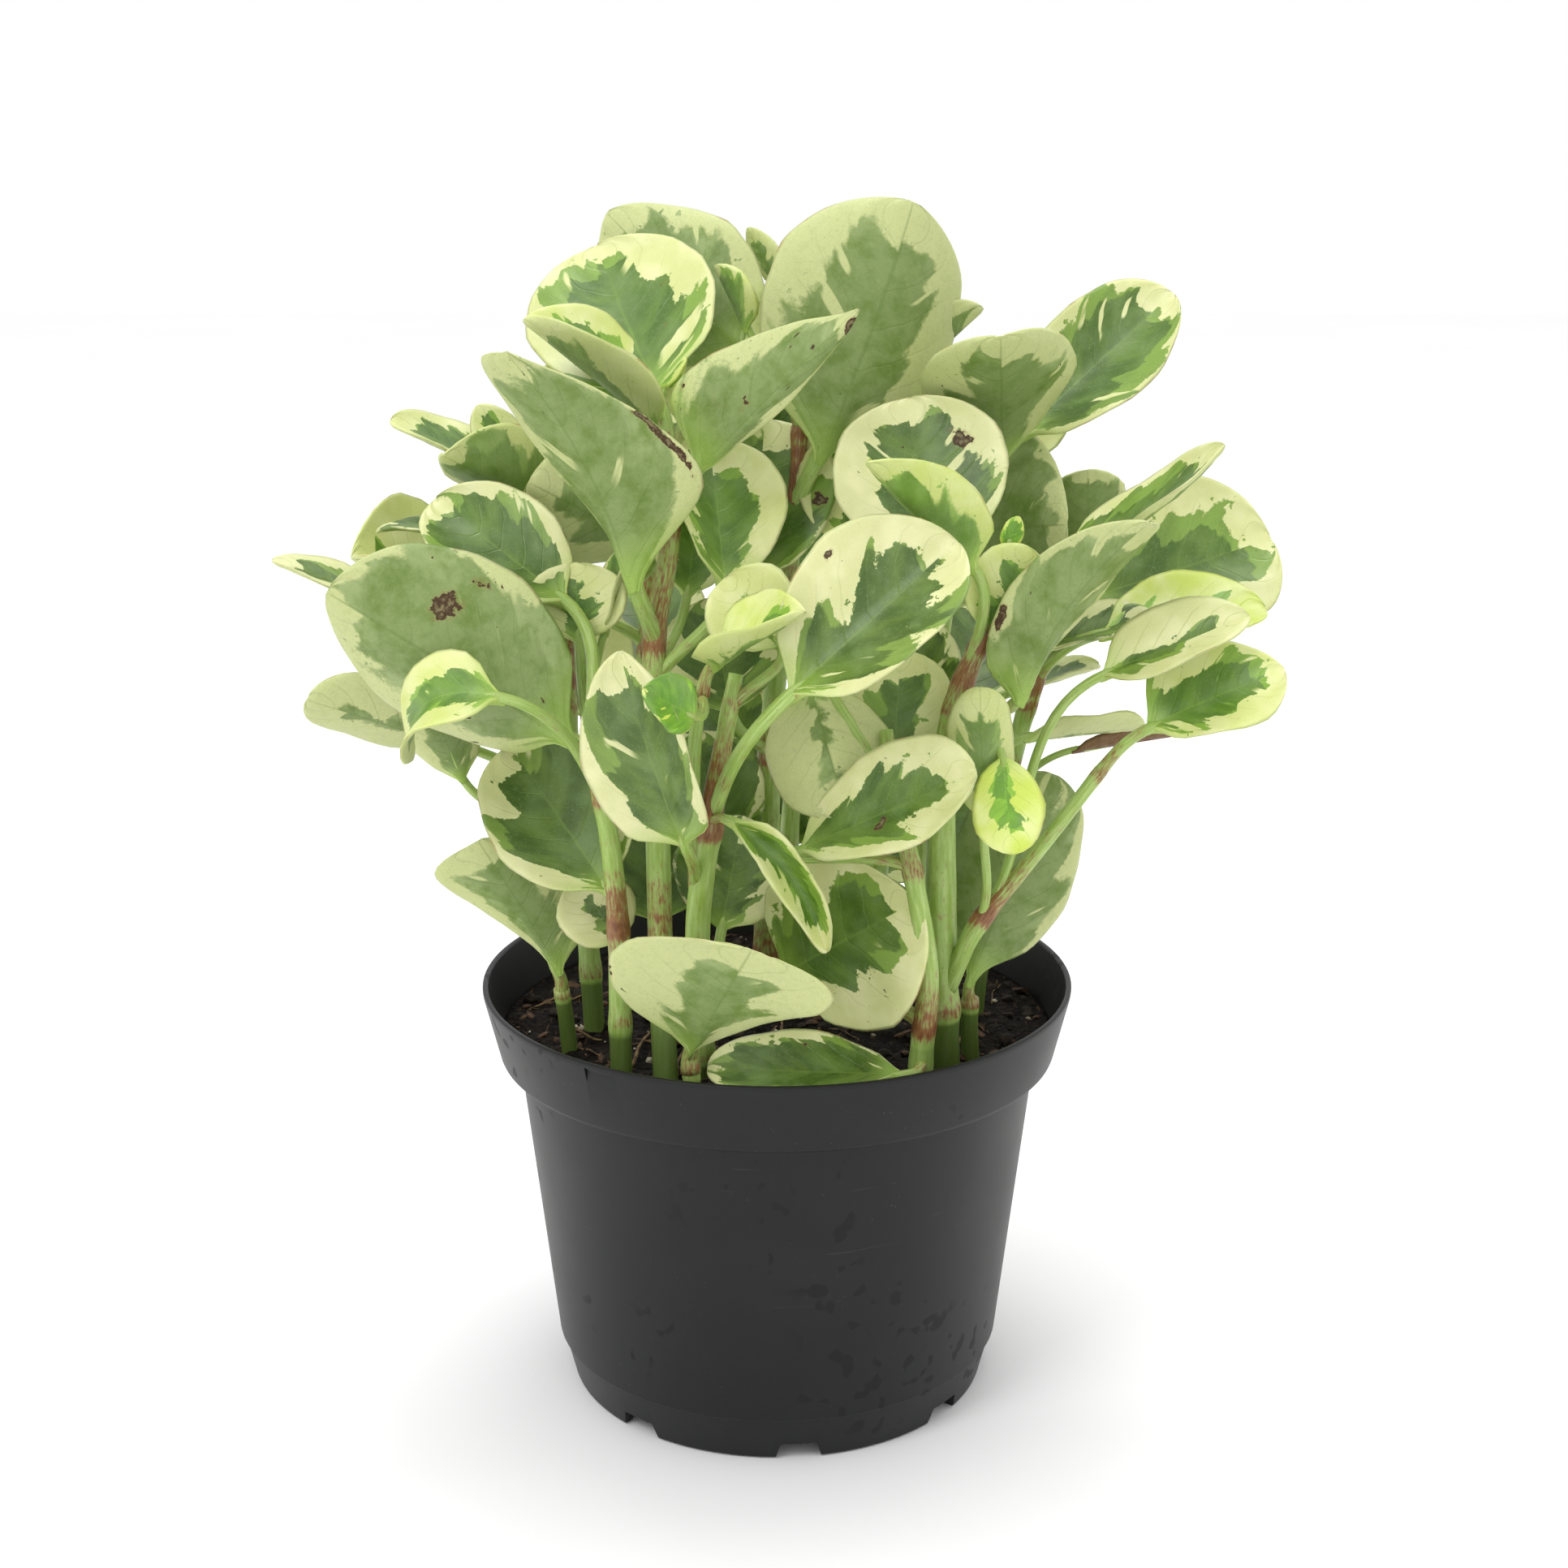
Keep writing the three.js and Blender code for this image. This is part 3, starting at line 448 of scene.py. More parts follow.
        # The brown rim, the scars, the specks, dried leaves and a fine mottle.
        flush = g.noise(g.vector(along * 6.0, half, 0.0), 1.0, 2.0)
        skin = g.blend(size.step(0.965, 1.0) * flush.step(0.52, 0.68) * 0.75, skin, self.rim)
        spot = g.noise(g.vector(vein * 14.0, size * 5.0, half), 1.0, 4.0, 0.6) + wear * 0.11
        patchy = blemish * 1.5 + g.noise(patch, 5.0, 3.0, 0.6).around(1.3)
        scar = g.math("MAXIMUM", spot.step(0.755, 0.775), patchy.step(0.72, 0.8))
        core = patchy.step(0.85, 1.15) * g.noise(patch, 9.0, 3.0).step(0.4, 0.6)
        skin = g.blend(patchy.step(0.5, 0.8) * 0.3, skin, self.rim)
        skin = g.blend(scar, skin, g.blend(core, self.scar, self.scab))
        specks = (wear * 0.06 + g.noise(patch, 16.0, 1.0)).step(0.79, 0.83)
        skin = g.blend(specks * 0.8, skin, self.speck)
        dried = g.blend(g.noise(patch, 6.0, 3.0), self.dried, self.dried_pale)
        skin = g.blend(wear.step(1.4, 1.6), skin, dried)
        grain = g.noise(patch, 60.0, 2.0)
        mottle = grain * 0.5 + g.noise(patch, 22.0, 3.0) * 0.5
        skin = g.blend(0.3, skin, g.blend(mottle, "000000", "ffffff"), "OVERLAY")

        g.bump(grain * 0.12 + drift * 0.8 - side_vein * 0.25 + scar * 0.35, 0.0004, 0.7)
        rough = below * 0.2 + (grain * 0.14 + self.roughness)
        rough = g.math("MULTIPLY_ADD", scar, 0.3, rough, clamp=True)
        return g.finish(skin, rough, subsurface_weight=0.1, subsurface_scale=0.002,
                        subsurface_radius=(0.5, 0.8, 0.3))


@dataclass(frozen=True)
class StemFinish:
    """Pale green stems with rusty joints and fine lengthwise streaks."""

    green: str = "8fae4a"
    light: str = "b4cb7c"
    # Darker green for painted shade near the root of a main stem.
    low: str = "4f6429"
    pink: str = "9b7a55"
    rust: str = "8a5230"
    dark: str = "663c26"
    speck: str = "6f5a34"

    def material(self) -> bpy.types.Material:
        """Builds the finish.

        Returns:
            One material for all stems and leaf stalks.
        """
        g = Graph("fleshy_stem")
        around, along, seed = g.attribute("place")
        _, _, blush = g.attribute("marks")

        def streaks(pitch: float, drawn: float, detail: float) -> Signal:
            """Random values that are drawn out along the stem."""
            return g.noise(g.vector(around * pitch, along * drawn, seed), 1.0, detail)

        streak, blotch, fine = streaks(9.0, 0.12, 3.0), streaks(1.5, 0.22, 3.0), streaks(16.0, 0.35, 4.0)
        speck = streaks(12.0, 1.4, 2.0)
        skin = g.blend(streak.step(0.25, 0.85), self.green, self.light)
        # Painted shade: darker towards the root, which the marks carry as blush below zero.
        skin = g.blend(blush.step(-0.1, -1.1) * 0.85, skin, self.low)
        red = blush * 0.8 + blotch.around(1.1) + fine.around(2.0)
        skin = g.blend(red.step(0.12, 0.7) * 0.65, skin, self.pink)
        skin = g.blend(red.step(0.45, 0.9) * 0.85, skin, self.rust)
        skin = g.blend(red.step(0.95, 1.3) * 0.7, skin, self.dark)
        skin = g.blend(speck.step(0.66, 0.72) * 0.45, skin, self.speck)
        g.bump(streak + speck * 0.3, 0.0002, 0.8)
        return g.finish(skin, speck * 0.2 + 0.32, subsurface_weight=0.1, subsurface_scale=0.0015,
                        subsurface_radius=(0.6, 0.8, 0.3))


@dataclass(frozen=True)
class PlasticFinish:
    """Thin black nursery-pot plastic, satin, with dust, faint scuffs and wet blots."""

    shade: str = "0b0c0c"
    worn: str = "121313"
    dust: str = "4a4a44"
    scuff: str = "6a6a66"
    wet: str = "040404"

    def material(self) -> bpy.types.Material:
        """Builds the finish.

        Returns:
            The material.
        """
        g = Graph("black_pot_plastic")
        place = g.place()
        cloud, fine = g.noise(place, 28.0, 3.0), g.noise(place, 2600.0, 2.0)
        skin = g.blend(cloud.step(0.35, 0.75), self.shade, self.worn)
        speckles = g.cells(place, 420.0).step(0.13, 0.05) * g.noise(place, 70.0, 1.0).step(0.55, 0.7)
        skin = g.blend(speckles * 0.5, skin, self.dust)
        turned = g.drawn(place, (40.0, 40.0, 900.0), (0.0, 0.4, 0.3))
        skin = g.blend(g.noise(turned, 1.0, 2.0).step(0.72, 0.78) * 0.1, skin, self.scuff)
        blot = g.noise(place, 170.0, 1.0).step(0.6, 0.64) * g.noise(place, 22.0, 1.0).step(0.5, 0.6)
        skin = g.blend(blot * 0.6, skin, self.wet)
        g.bump(fine * 0.5 + g.noise(place, 160.0, 1.0) * 0.6, 0.00006, 0.7)
        return g.finish(skin, cloud * 0.16 + 0.36 + blot * 0.14, specular_ior_level=0.32)


@dataclass(frozen=True)
class EarthFinish:
    """Dark, moist potting mix with pale fibres."""

    dark: str = "0a0705"
    light: str = "22180f"
    fibre: str = "5c4630"

    def material(self) -> bpy.types.Material:
        """Builds the finish.

        Returns:
            The material.
        """
        g = Graph("potting_mix")
        place = g.place()
        clod = g.noise(place, 240.0, 5.0, 0.65)
        skin = g.blend(clod.step(0.38, 0.72), self.dark, self.light)
        fibre = g.noise(g.drawn(place, (900.0, 150.0, 300.0)), 1.0, 3.0)
        skin = g.blend(fibre.step(0.62, 0.72) * 0.6, skin, self.fibre)
        g.bump(g.cells(place, 620.0) * 0.6 + clod, 0.0012)
        return g.finish(skin, clod * -0.4 + 0.95, specular_ior_level=0.12)


@dataclass(frozen=True)
class GrainFinish:
    """Loose bits on the soil: bark, perlite or rootlets, each with its own two shades."""

    name: str
    dark: str
    light: str
    scale: float
    roughness: float

    def material(self) -> bpy.types.Material:
        """Builds the finish.

        Returns:
            The material.
        """
        g = Graph(self.name)
        place = g.place()
        fine = g.noise(place, self.scale * 7, 3.0)
        skin = g.blend(g.noise(place, self.scale, 3.0).step(0.35, 0.65), self.dark, self.light)
        skin = g.blend(fine.step(0.5, 0.7) * 0.4, skin, self.dark)
        g.bump(fine, 0.0003)
        return g.finish(skin, self.roughness)


@dataclass
class Rod:
    """A round, fleshy rod, such as a stem or a leaf's stalk.

    line holds points in millimetres with the radius as the fourth number, joints the lengths along
    it at which it is swollen and rusty, and ruddy the stretches that are red all over. foot is 1
    for a stem with painted shade near its root, a darker colour that fades over foot_fade.
    """

    line: np.ndarray
    seed: float
    joints: tuple[float, ...] = ()
    swelling: float = 0.16
    ruddy: tuple[tuple[float, float], ...] = ()
    foot: float = 0.0
    unevenness: float = 0.03
    joint_length: float = 3.2
    foot_fade: tuple[float, float] = (18.0, 60.0)

    def __post_init__(self) -> None:
        """Works out the lengths along the line, and the sides of each ring."""
        self.run = lengths(self.line)
        self.along = unit(np.gradient(self.line[:, :3], axis=0))
        side = np.array([1.0, 0.2, 0.0])
        sides = []
        for way in self.along:
            side = unit(side - way * (side @ way))
            sides.append(side)
        self.sides = np.array(sides)

    def form(self, around: np.ndarray, along: np.ndarray) -> Skin:
        """Places the rod's points.

        Args:
            around: Shares of the way around the rod.
            along: Shares of the way along it.

        Returns:
            The rod's skin.
        """
        at = along * self.run[-1]

        def sample(values: np.ndarray) -> np.ndarray:
            """Reads values at the lengths that are asked for."""
            return np.stack([np.interp(at, self.run, values[:, i]) for i in range(3)], -1)

        centre, side, way = sample(self.line), sample(self.sides), unit(sample(self.along))
        side = unit(side - way * np.sum(side * way, -1, keepdims=True))
        other = np.cross(way, side)
        swell, blush = np.zeros_like(at), np.zeros_like(at)
        for low, high in self.ruddy:
            blush += 0.6 * smooth(at, low, low + 4) * (1 - smooth(at, high - 12, high))
        for joint in self.joints:
            strength = 0.35 + 0.65 * abs(math.sin(joint * 1.7 + self.seed))
            swell += bell(at - joint, self.joint_length) * strength
            above = at - joint + 1.2
            fade = np.exp(-np.clip(above, 0, None) / (3 + 9 * strength))
            blush += fade * smooth(above, -1.0, 0.6) * strength
        angle = around * TURN
        uneven = 1 + self.unevenness * np.sin(3 * angle + self.seed + at * 0.06) + self.swelling * swell
        radius = (np.interp(at, self.run, self.line[:, 3]) * uneven)[:, None]
        points = centre + (side * np.cos(angle)[:, None] + other * np.sin(angle)[:, None]) * radius
        nothing = np.zeros_like(at)
        place = np.stack([np.abs(around - 0.5) * 2, at, nothing + self.seed], -1)
        # Painted shade: how much darker the stem is near its root, held back where it is red; it is taken off the
        # blush.
        low = self.foot * (1 - smooth(at, *self.foot_fade)) * (1 - np.clip(blush, 0, 1))
        marks = np.stack([nothing, nothing, np.clip(blush, 0, 1.3) - 1.2 * low], -1)
        return Skin(points, place, place * 0.1, np.zeros_like(points), marks)


@dataclass
class Stem:
    """A stem: points from its root up, with its radius there as the fourth number.

    ruddy holds the stretches of its length that are red all over, in millimetres.
    """

    table: tuple[tuple[float, float, float, float], ...]
    ruddy: tuple[tuple[float, float], ...] = ()

    @cached_property
    def line(self) -> np.ndarray:
        """Works out the smooth curve through the stem's points.

        Returns:
            Points about 2 mm apart along it, with the radius as the fourth number.
        """
        points = np.array(self.table, float)
        points = np.vstack([2 * points[0] - points[1], points, 2 * points[-1] - points[-2]])
        made = []
        for four in zip(points, points[1:], points[2:], points[3:]):
            times = lengths(np.array(four), 0.5)
            steps = max(2, math.ceil(np.linalg.norm((four[2] - four[1])[:3]) / 2))
            for time in np.linspace(times[1], times[2], steps, endpoint=False):
                level = list(four)
                for ends in (((0, 1), (1, 2), (2, 3)), ((0, 2), (1, 3)), ((1, 2),)):
                    shares = [(time - times[i]) / (times[j] - times[i]) for i, j in ends]
                    level = [a * (1 - s) + b * s for a, b, s in zip(level, level[1:], shares)]
                made.append(level[0])
        return np.array([*made, points[-2]])

    def at(self, share: float) -> tuple[np.ndarray, np.ndarray, float]:
        """Finds the point at a share of the stem's length.

        Args:
            share: From 0 at the root to 1 at the top.

        Returns:
            The point, the stem's direction there, and the length from the root.
        """
        run = lengths(self.line)
        length = share * run[-1]
        i = min(int(np.searchsorted(run, length, side="right")), len(run) - 1) - 1
        part = (length - run[i]) / (run[i + 1] - run[i])
        way = (self.line[i + 1] - self.line[i])[:3]
        return (self.line[i] * (1 - part) + self.line[i + 1] * part)[:3], unit(way), length


@dataclass
class Leaf:
    """A leaf: its blade from base to tip, and the stalk that carries it, in millimetres and degrees.

    shape is the width, the share of the length where it is widest, turn, fold and curl. joint is the
    share of its stem's length where the stalk leaves it, and stem that stem's number. look is the
    green share of the half width, its lean to one side, the youth, and the wear, up to 2 for a dry leaf.
    neck is the share of the length over which the base opens out of the stalk, sweep how far the
    midrib swings sideways, and halves each half's share of the width and where it is widest.
    scars are brown marks: across, along, and their sizes across and along in millimetres. fullness
    rounds the outline, throat is its share of the width where the stalk enters, and wave, pucker
    and groove are the heights of the edge's waves, the bulges between veins and the midrib.
    """

    name: str
    base: Point
    tip: Point
    shape: tuple[float, float, float, float, float]
    joint: float
    look: tuple[float, float, float, float]
    stem: int = 0
    arch: float = 0.0
    twist: float = 0.0
    neck: float = 0.18
    sweep: float = 0.0
    halves: tuple[tuple[float, float], tuple[float, float]] | None = None
    scars: tuple[tuple[float, float, float, float], ...] = ()
    thickness: float = 1.3
    wave: float = 0.9
    pucker: float = 0.2
    groove: float = 0.4
    fullness: float = 0.62
    throat: float = 0.12

    def __post_init__(self) -> None:
        """Works out the blade's own directions."""
        self.width, widest, turn, fold, curl = self.shape
        self.parts = self.halves or ((1.0, widest), (1.0, widest))
        self.fold, self.curl, self.turning = np.radians([fold, curl, self.twist])
        self.start = np.array(self.base, float)
        line = np.array(self.tip, float) - self.start
        self.length = float(np.linalg.norm(line))
        self.line = line / self.length
        front = unit(FRONT)
        facing = unit(front - self.line * (front @ self.line))
        side = np.cross(self.line, facing)
        turn = math.radians(turn)
        self.up = facing * math.cos(turn) + side * math.sin(turn)
        self.side = np.cross(self.line, self.up)
        self.stalk_radius = 0.8 + 0.026 * self.width
        self.seed = sum(ord(letter) * (i + 3) for i, letter in enumerate(self.name)) % 97 + 0.37

    def outline(self, along: np.ndarray, hand: np.ndarray) -> np.ndarray:
        """The share of its full width that a half of the blade has.

        Args:
            along: From 0 at the base to 1 at the tip.
            hand: Negative for the one half and positive for the other.

        Returns:
            The share for each point.
        """
        (minus, minus_widest), (plus, plus_widest) = self.parts
        widest = np.where(hand < 0, minus_widest, plus_widest)
        low = self.fullness * np.sqrt(widest / (1 - widest))
        high = self.fullness * np.sqrt((1 - widest) / widest)
        top = widest**low * (1 - widest) ** high
        opening = self.throat + (1 - self.throat) * smooth(along, 0, self.neck)
        return np.where(hand < 0, minus, plus) * along**low * (1 - along) ** high / top * opening

    def surface(self, along: np.ndarray, across: np.ndarray) -> tuple[np.ndarray, np.ndarray, np.ndarray]:
        """The blade's middle surface.

        Args:
            along: From 0 at the base to 1 at the tip.
            across: From -1 to 1.

        Returns:
            The points, the normals of the upper face, and the half widths.
        """
        slope = 4 * self.arch * (1 - 2 * along)
        up = unit(self.up - self.line * slope[:, None])
        turn = (self.turning * (along - 0.5))[:, None]
        side = self.side * np.cos(turn) - up * np.sin(turn)
        up = up * np.cos(turn) + self.side * np.sin(turn)
        hand, size = np.sign(across), np.abs(across)
        wobble = 1 + 0.014 * np.sin(13 * along + self.seed + hand)
        wobble = wobble + 0.008 * np.sin(31 * along + 2 * self.seed - hand)
        half = self.width / 2 * self.outline(along, hand) * np.where(along < 0.97, wobble, 1)
        soft = (np.sqrt(across**2 + 0.01) - 0.1) / (math.sqrt(1.01) - 0.1)
        angle, bent = self.fold + self.curl * size, self.fold + self.curl * soft
        out = hand * half * (np.sin(angle) - math.sin(self.fold)) / self.curl
        lift = half * (math.cos(self.fold) - np.cos(bent)) / self.curl
        middle = self.start + self.line * (self.length * along)[:, None]
        bow = self.up * self.arch + self.side * self.sweep
        middle = middle + bow * (self.length * 4 * along * (1 - along))[:, None]
        tilt = angle * np.clip(size / 0.1, 0, 1)
        normal = up * np.cos(tilt)[:, None] - side * (np.sin(tilt) * hand)[:, None]
        return middle + side * out[:, None] + up * lift[:, None], normal, half

    def form(self, around: np.ndarray, along: np.ndarray) -> Skin:
        """Places the points of the blade: once over the upper face, and back over the underside.

        Args:
            around: Shares of the way around the blade's thickness.
            along: Shares of the way along it.

        Returns:
            The blade's skin.
        """
        turn = 1 - np.abs(1 - 2 * around)
        across = 0.65 * np.cos(math.pi * turn) + 0.35 * (1 - 2 * turn)
        face = np.sign(np.round(0.5 - around, 6)) * (turn > 1e-6)
        far = 0.004 + 0.994 * (0.5 - 0.5 * np.cos(math.pi * along))
        points, normal, half = self.surface(far, across)
        size, hand = np.abs(across), np.sign(across)
        calm = min(1.0, self.width / 30)
        vein = far - VEIN_SLANT * size**1.3
        wave = self.wave * size**3 * np.sin(10.5 * far + self.seed + 1.7 * hand) * smooth(far, 0.03, 0.25)
        between = smooth(size, 0.05, 0.4) * smooth(1 - size, 0, 0.2)
        pucker = self.pucker * np.sin(TURN * VEIN_COUNT * vein) * between
        groove = self.groove * bell(across * half, 1.3) * smooth(1 - far, 0.05, 0.5)
        thick = self.thickness * (0.6 + 0.4 * calm) / 2
        thick = thick * np.sqrt(np.clip(1 - size**6, 0, 1)) * np.sqrt(np.clip((1 - far) / 0.03, 0.1, 1))
        keel = (self.stalk_radius - thick) * bell(across * half, 0.9 + 0.045 * self.width * (1 - far))
        thick = thick + np.clip(keel, 0, None) * (1 - smooth(far, 0.0, 0.5)) * np.where(face < 0, 1, 0.35)
        points = points + normal * (calm * (wave + pucker - groove) + face * thick)[:, None]
        share, lean, youth, wear = self.look
        ones = np.ones_like(far)
        place = np.stack([across, far, ones * self.seed], -1)
        patch = np.stack([across * half, far * self.length, ones * self.seed * 10], -1) * 0.1
        tone = np.stack([ones * share, ones * lean, ones * youth], -1)
        marks = np.stack([0.5 - 0.5 * face, ones * wear, self.blemish(across, far, half)], -1)
        return Skin(points, place, patch, tone, marks)

    def blemish(self, across: np.ndarray, along: np.ndarray, half: np.ndarray) -> np.ndarray:
        """How near each point is to the middle of a scar.

        Args:
            across: From -1 to 1.
            along: From 0 at the base to 1 at the tip.
            half: The half widths in millimetres.

        Returns:
            1 in the middle of a scar and 0 away from all of them.
        """
        near = np.zeros_like(along)
        for at_across, at_along, wide, tall in self.scars:
            side = (across - at_across) * half / wide
            near = np.maximum(near, np.exp(-(side**2) - ((along - at_along) * self.length / tall) ** 2))
        return near

    def stalk(self, stems: tuple[Stem, ...]) -> Rod:
        """The leaf's stalk, which runs on a little way under the blade.

        Args:
            stems: The shoot's stems.

        Returns:
            The stalk.
        """
        root, leaving, _ = stems[self.stem].at(self.joint)
        entry = unit(self.line + self.up * 4 * self.arch + self.side * 4 * self.sweep)
        run = np.linalg.norm(self.start - root) * 0.35
        straight = unit(self.start - root)
        ends = [root, root + (leaving * 0.6 + straight * 0.4) * run,
                self.start - entry * run, self.start + entry * 3]
        u = np.linspace(0, 1, 17)[:, None]
        bend = sum(math.comb(3, i) * (1 - u) ** (3 - i) * u**i * end for i, end in enumerate(ends))
        far = np.linspace(min(0.3, 5 / self.length), 0.42, 7)
        middle, up, _ = self.surface(far, 0 * far)
        taper = self.stalk_radius * np.clip(1 - far / 0.46, 0, 1)
        rib = middle - up * (0.35 * self.thickness + 0.1 * taper)[:, None] * smooth(far, 0, 0.15)[:, None]
        radii = np.concatenate([self.stalk_radius * (1 - 0.12 * u[:, 0]), taper * 0.8])
        line = np.column_stack([np.vstack([bend, rib]), radii])
        return Rod(line, self.seed, joints=(0.0,), swelling=0.15)


@dataclass
class Shoot:
    """A rooted stem with its branches and leaves, which stands for one CAD node.

    Joints without a leaf stand joint_pitch apart from lowest_joint up, or from branch_joint on a side
    stem, to joint_margin below the first leaf, or below bare_top where there is none. Millimetres.
    """

    name: str
    stems: tuple[Stem, ...]
    leaves: tuple[Leaf, ...]
    lowest_joint: float = 34.0
    branch_joint: float = 12.0
    joint_pitch: float = 31.0
    bare_top: float = 60.0
    joint_margin: float = 14.0
    stem_sides: int = 16
    stalk_sides: int = 10

    @property
    def node(self) -> str:
        """The CAD node that the shoot replaces."""
        return f"shoot_{self.name}"

    def grow_stems(self, finish: bpy.types.Material) -> bpy.types.Object:
        """Makes the stems and stalks as one piece.

        Args:
            finish: The stems' material.

        Returns:
            The piece.
        """
        tissue = Tissue(f"stems_{self.name}")
        for i, stem in enumerate(self.stems):
            joints = [stem.at(leaf.joint)[2] for leaf in self.leaves if leaf.stem == i]
            low = self.branch_joint if i else self.lowest_joint
            while low < min(joints, default=self.bare_top) - self.joint_margin:
                joints.append(low)
                low += self.joint_pitch
            seed = i * 7.3 + len(self.name)
            # The main stem gets painted shade near its root.
            rod = Rod(stem.line, seed, tuple(joints), ruddy=stem.ruddy, foot=float(i == 0))
            tissue.add(rod.form, self.stem_sides, max(8, round(rod.run[-1] / 2.2)))
        for leaf in self.leaves:
            stalk = leaf.stalk(self.stems)
            tissue.add(stalk.form, self.stalk_sides, max(16, round(stalk.run[-1] / 2)))
        return tissue.finish(finish, Slot.FOLIAGE, self.node)

    def grow_leaves(self, finish: bpy.types.Material) -> bpy.types.Object:
        """Makes the blades as one piece.

        Args:
            finish: The leaves' material.

        Returns:
            The piece.
        """
        tissue = Tissue(f"leaves_{self.name}")
        for leaf in self.leaves:
            around = 2 * round(min(22, max(8, leaf.width / 2.3)))
            tissue.add(leaf.form, around, round(min(36, max(12, leaf.length / 2))))
        return tissue.finish(finish, Slot.FOLIAGE, self.node)


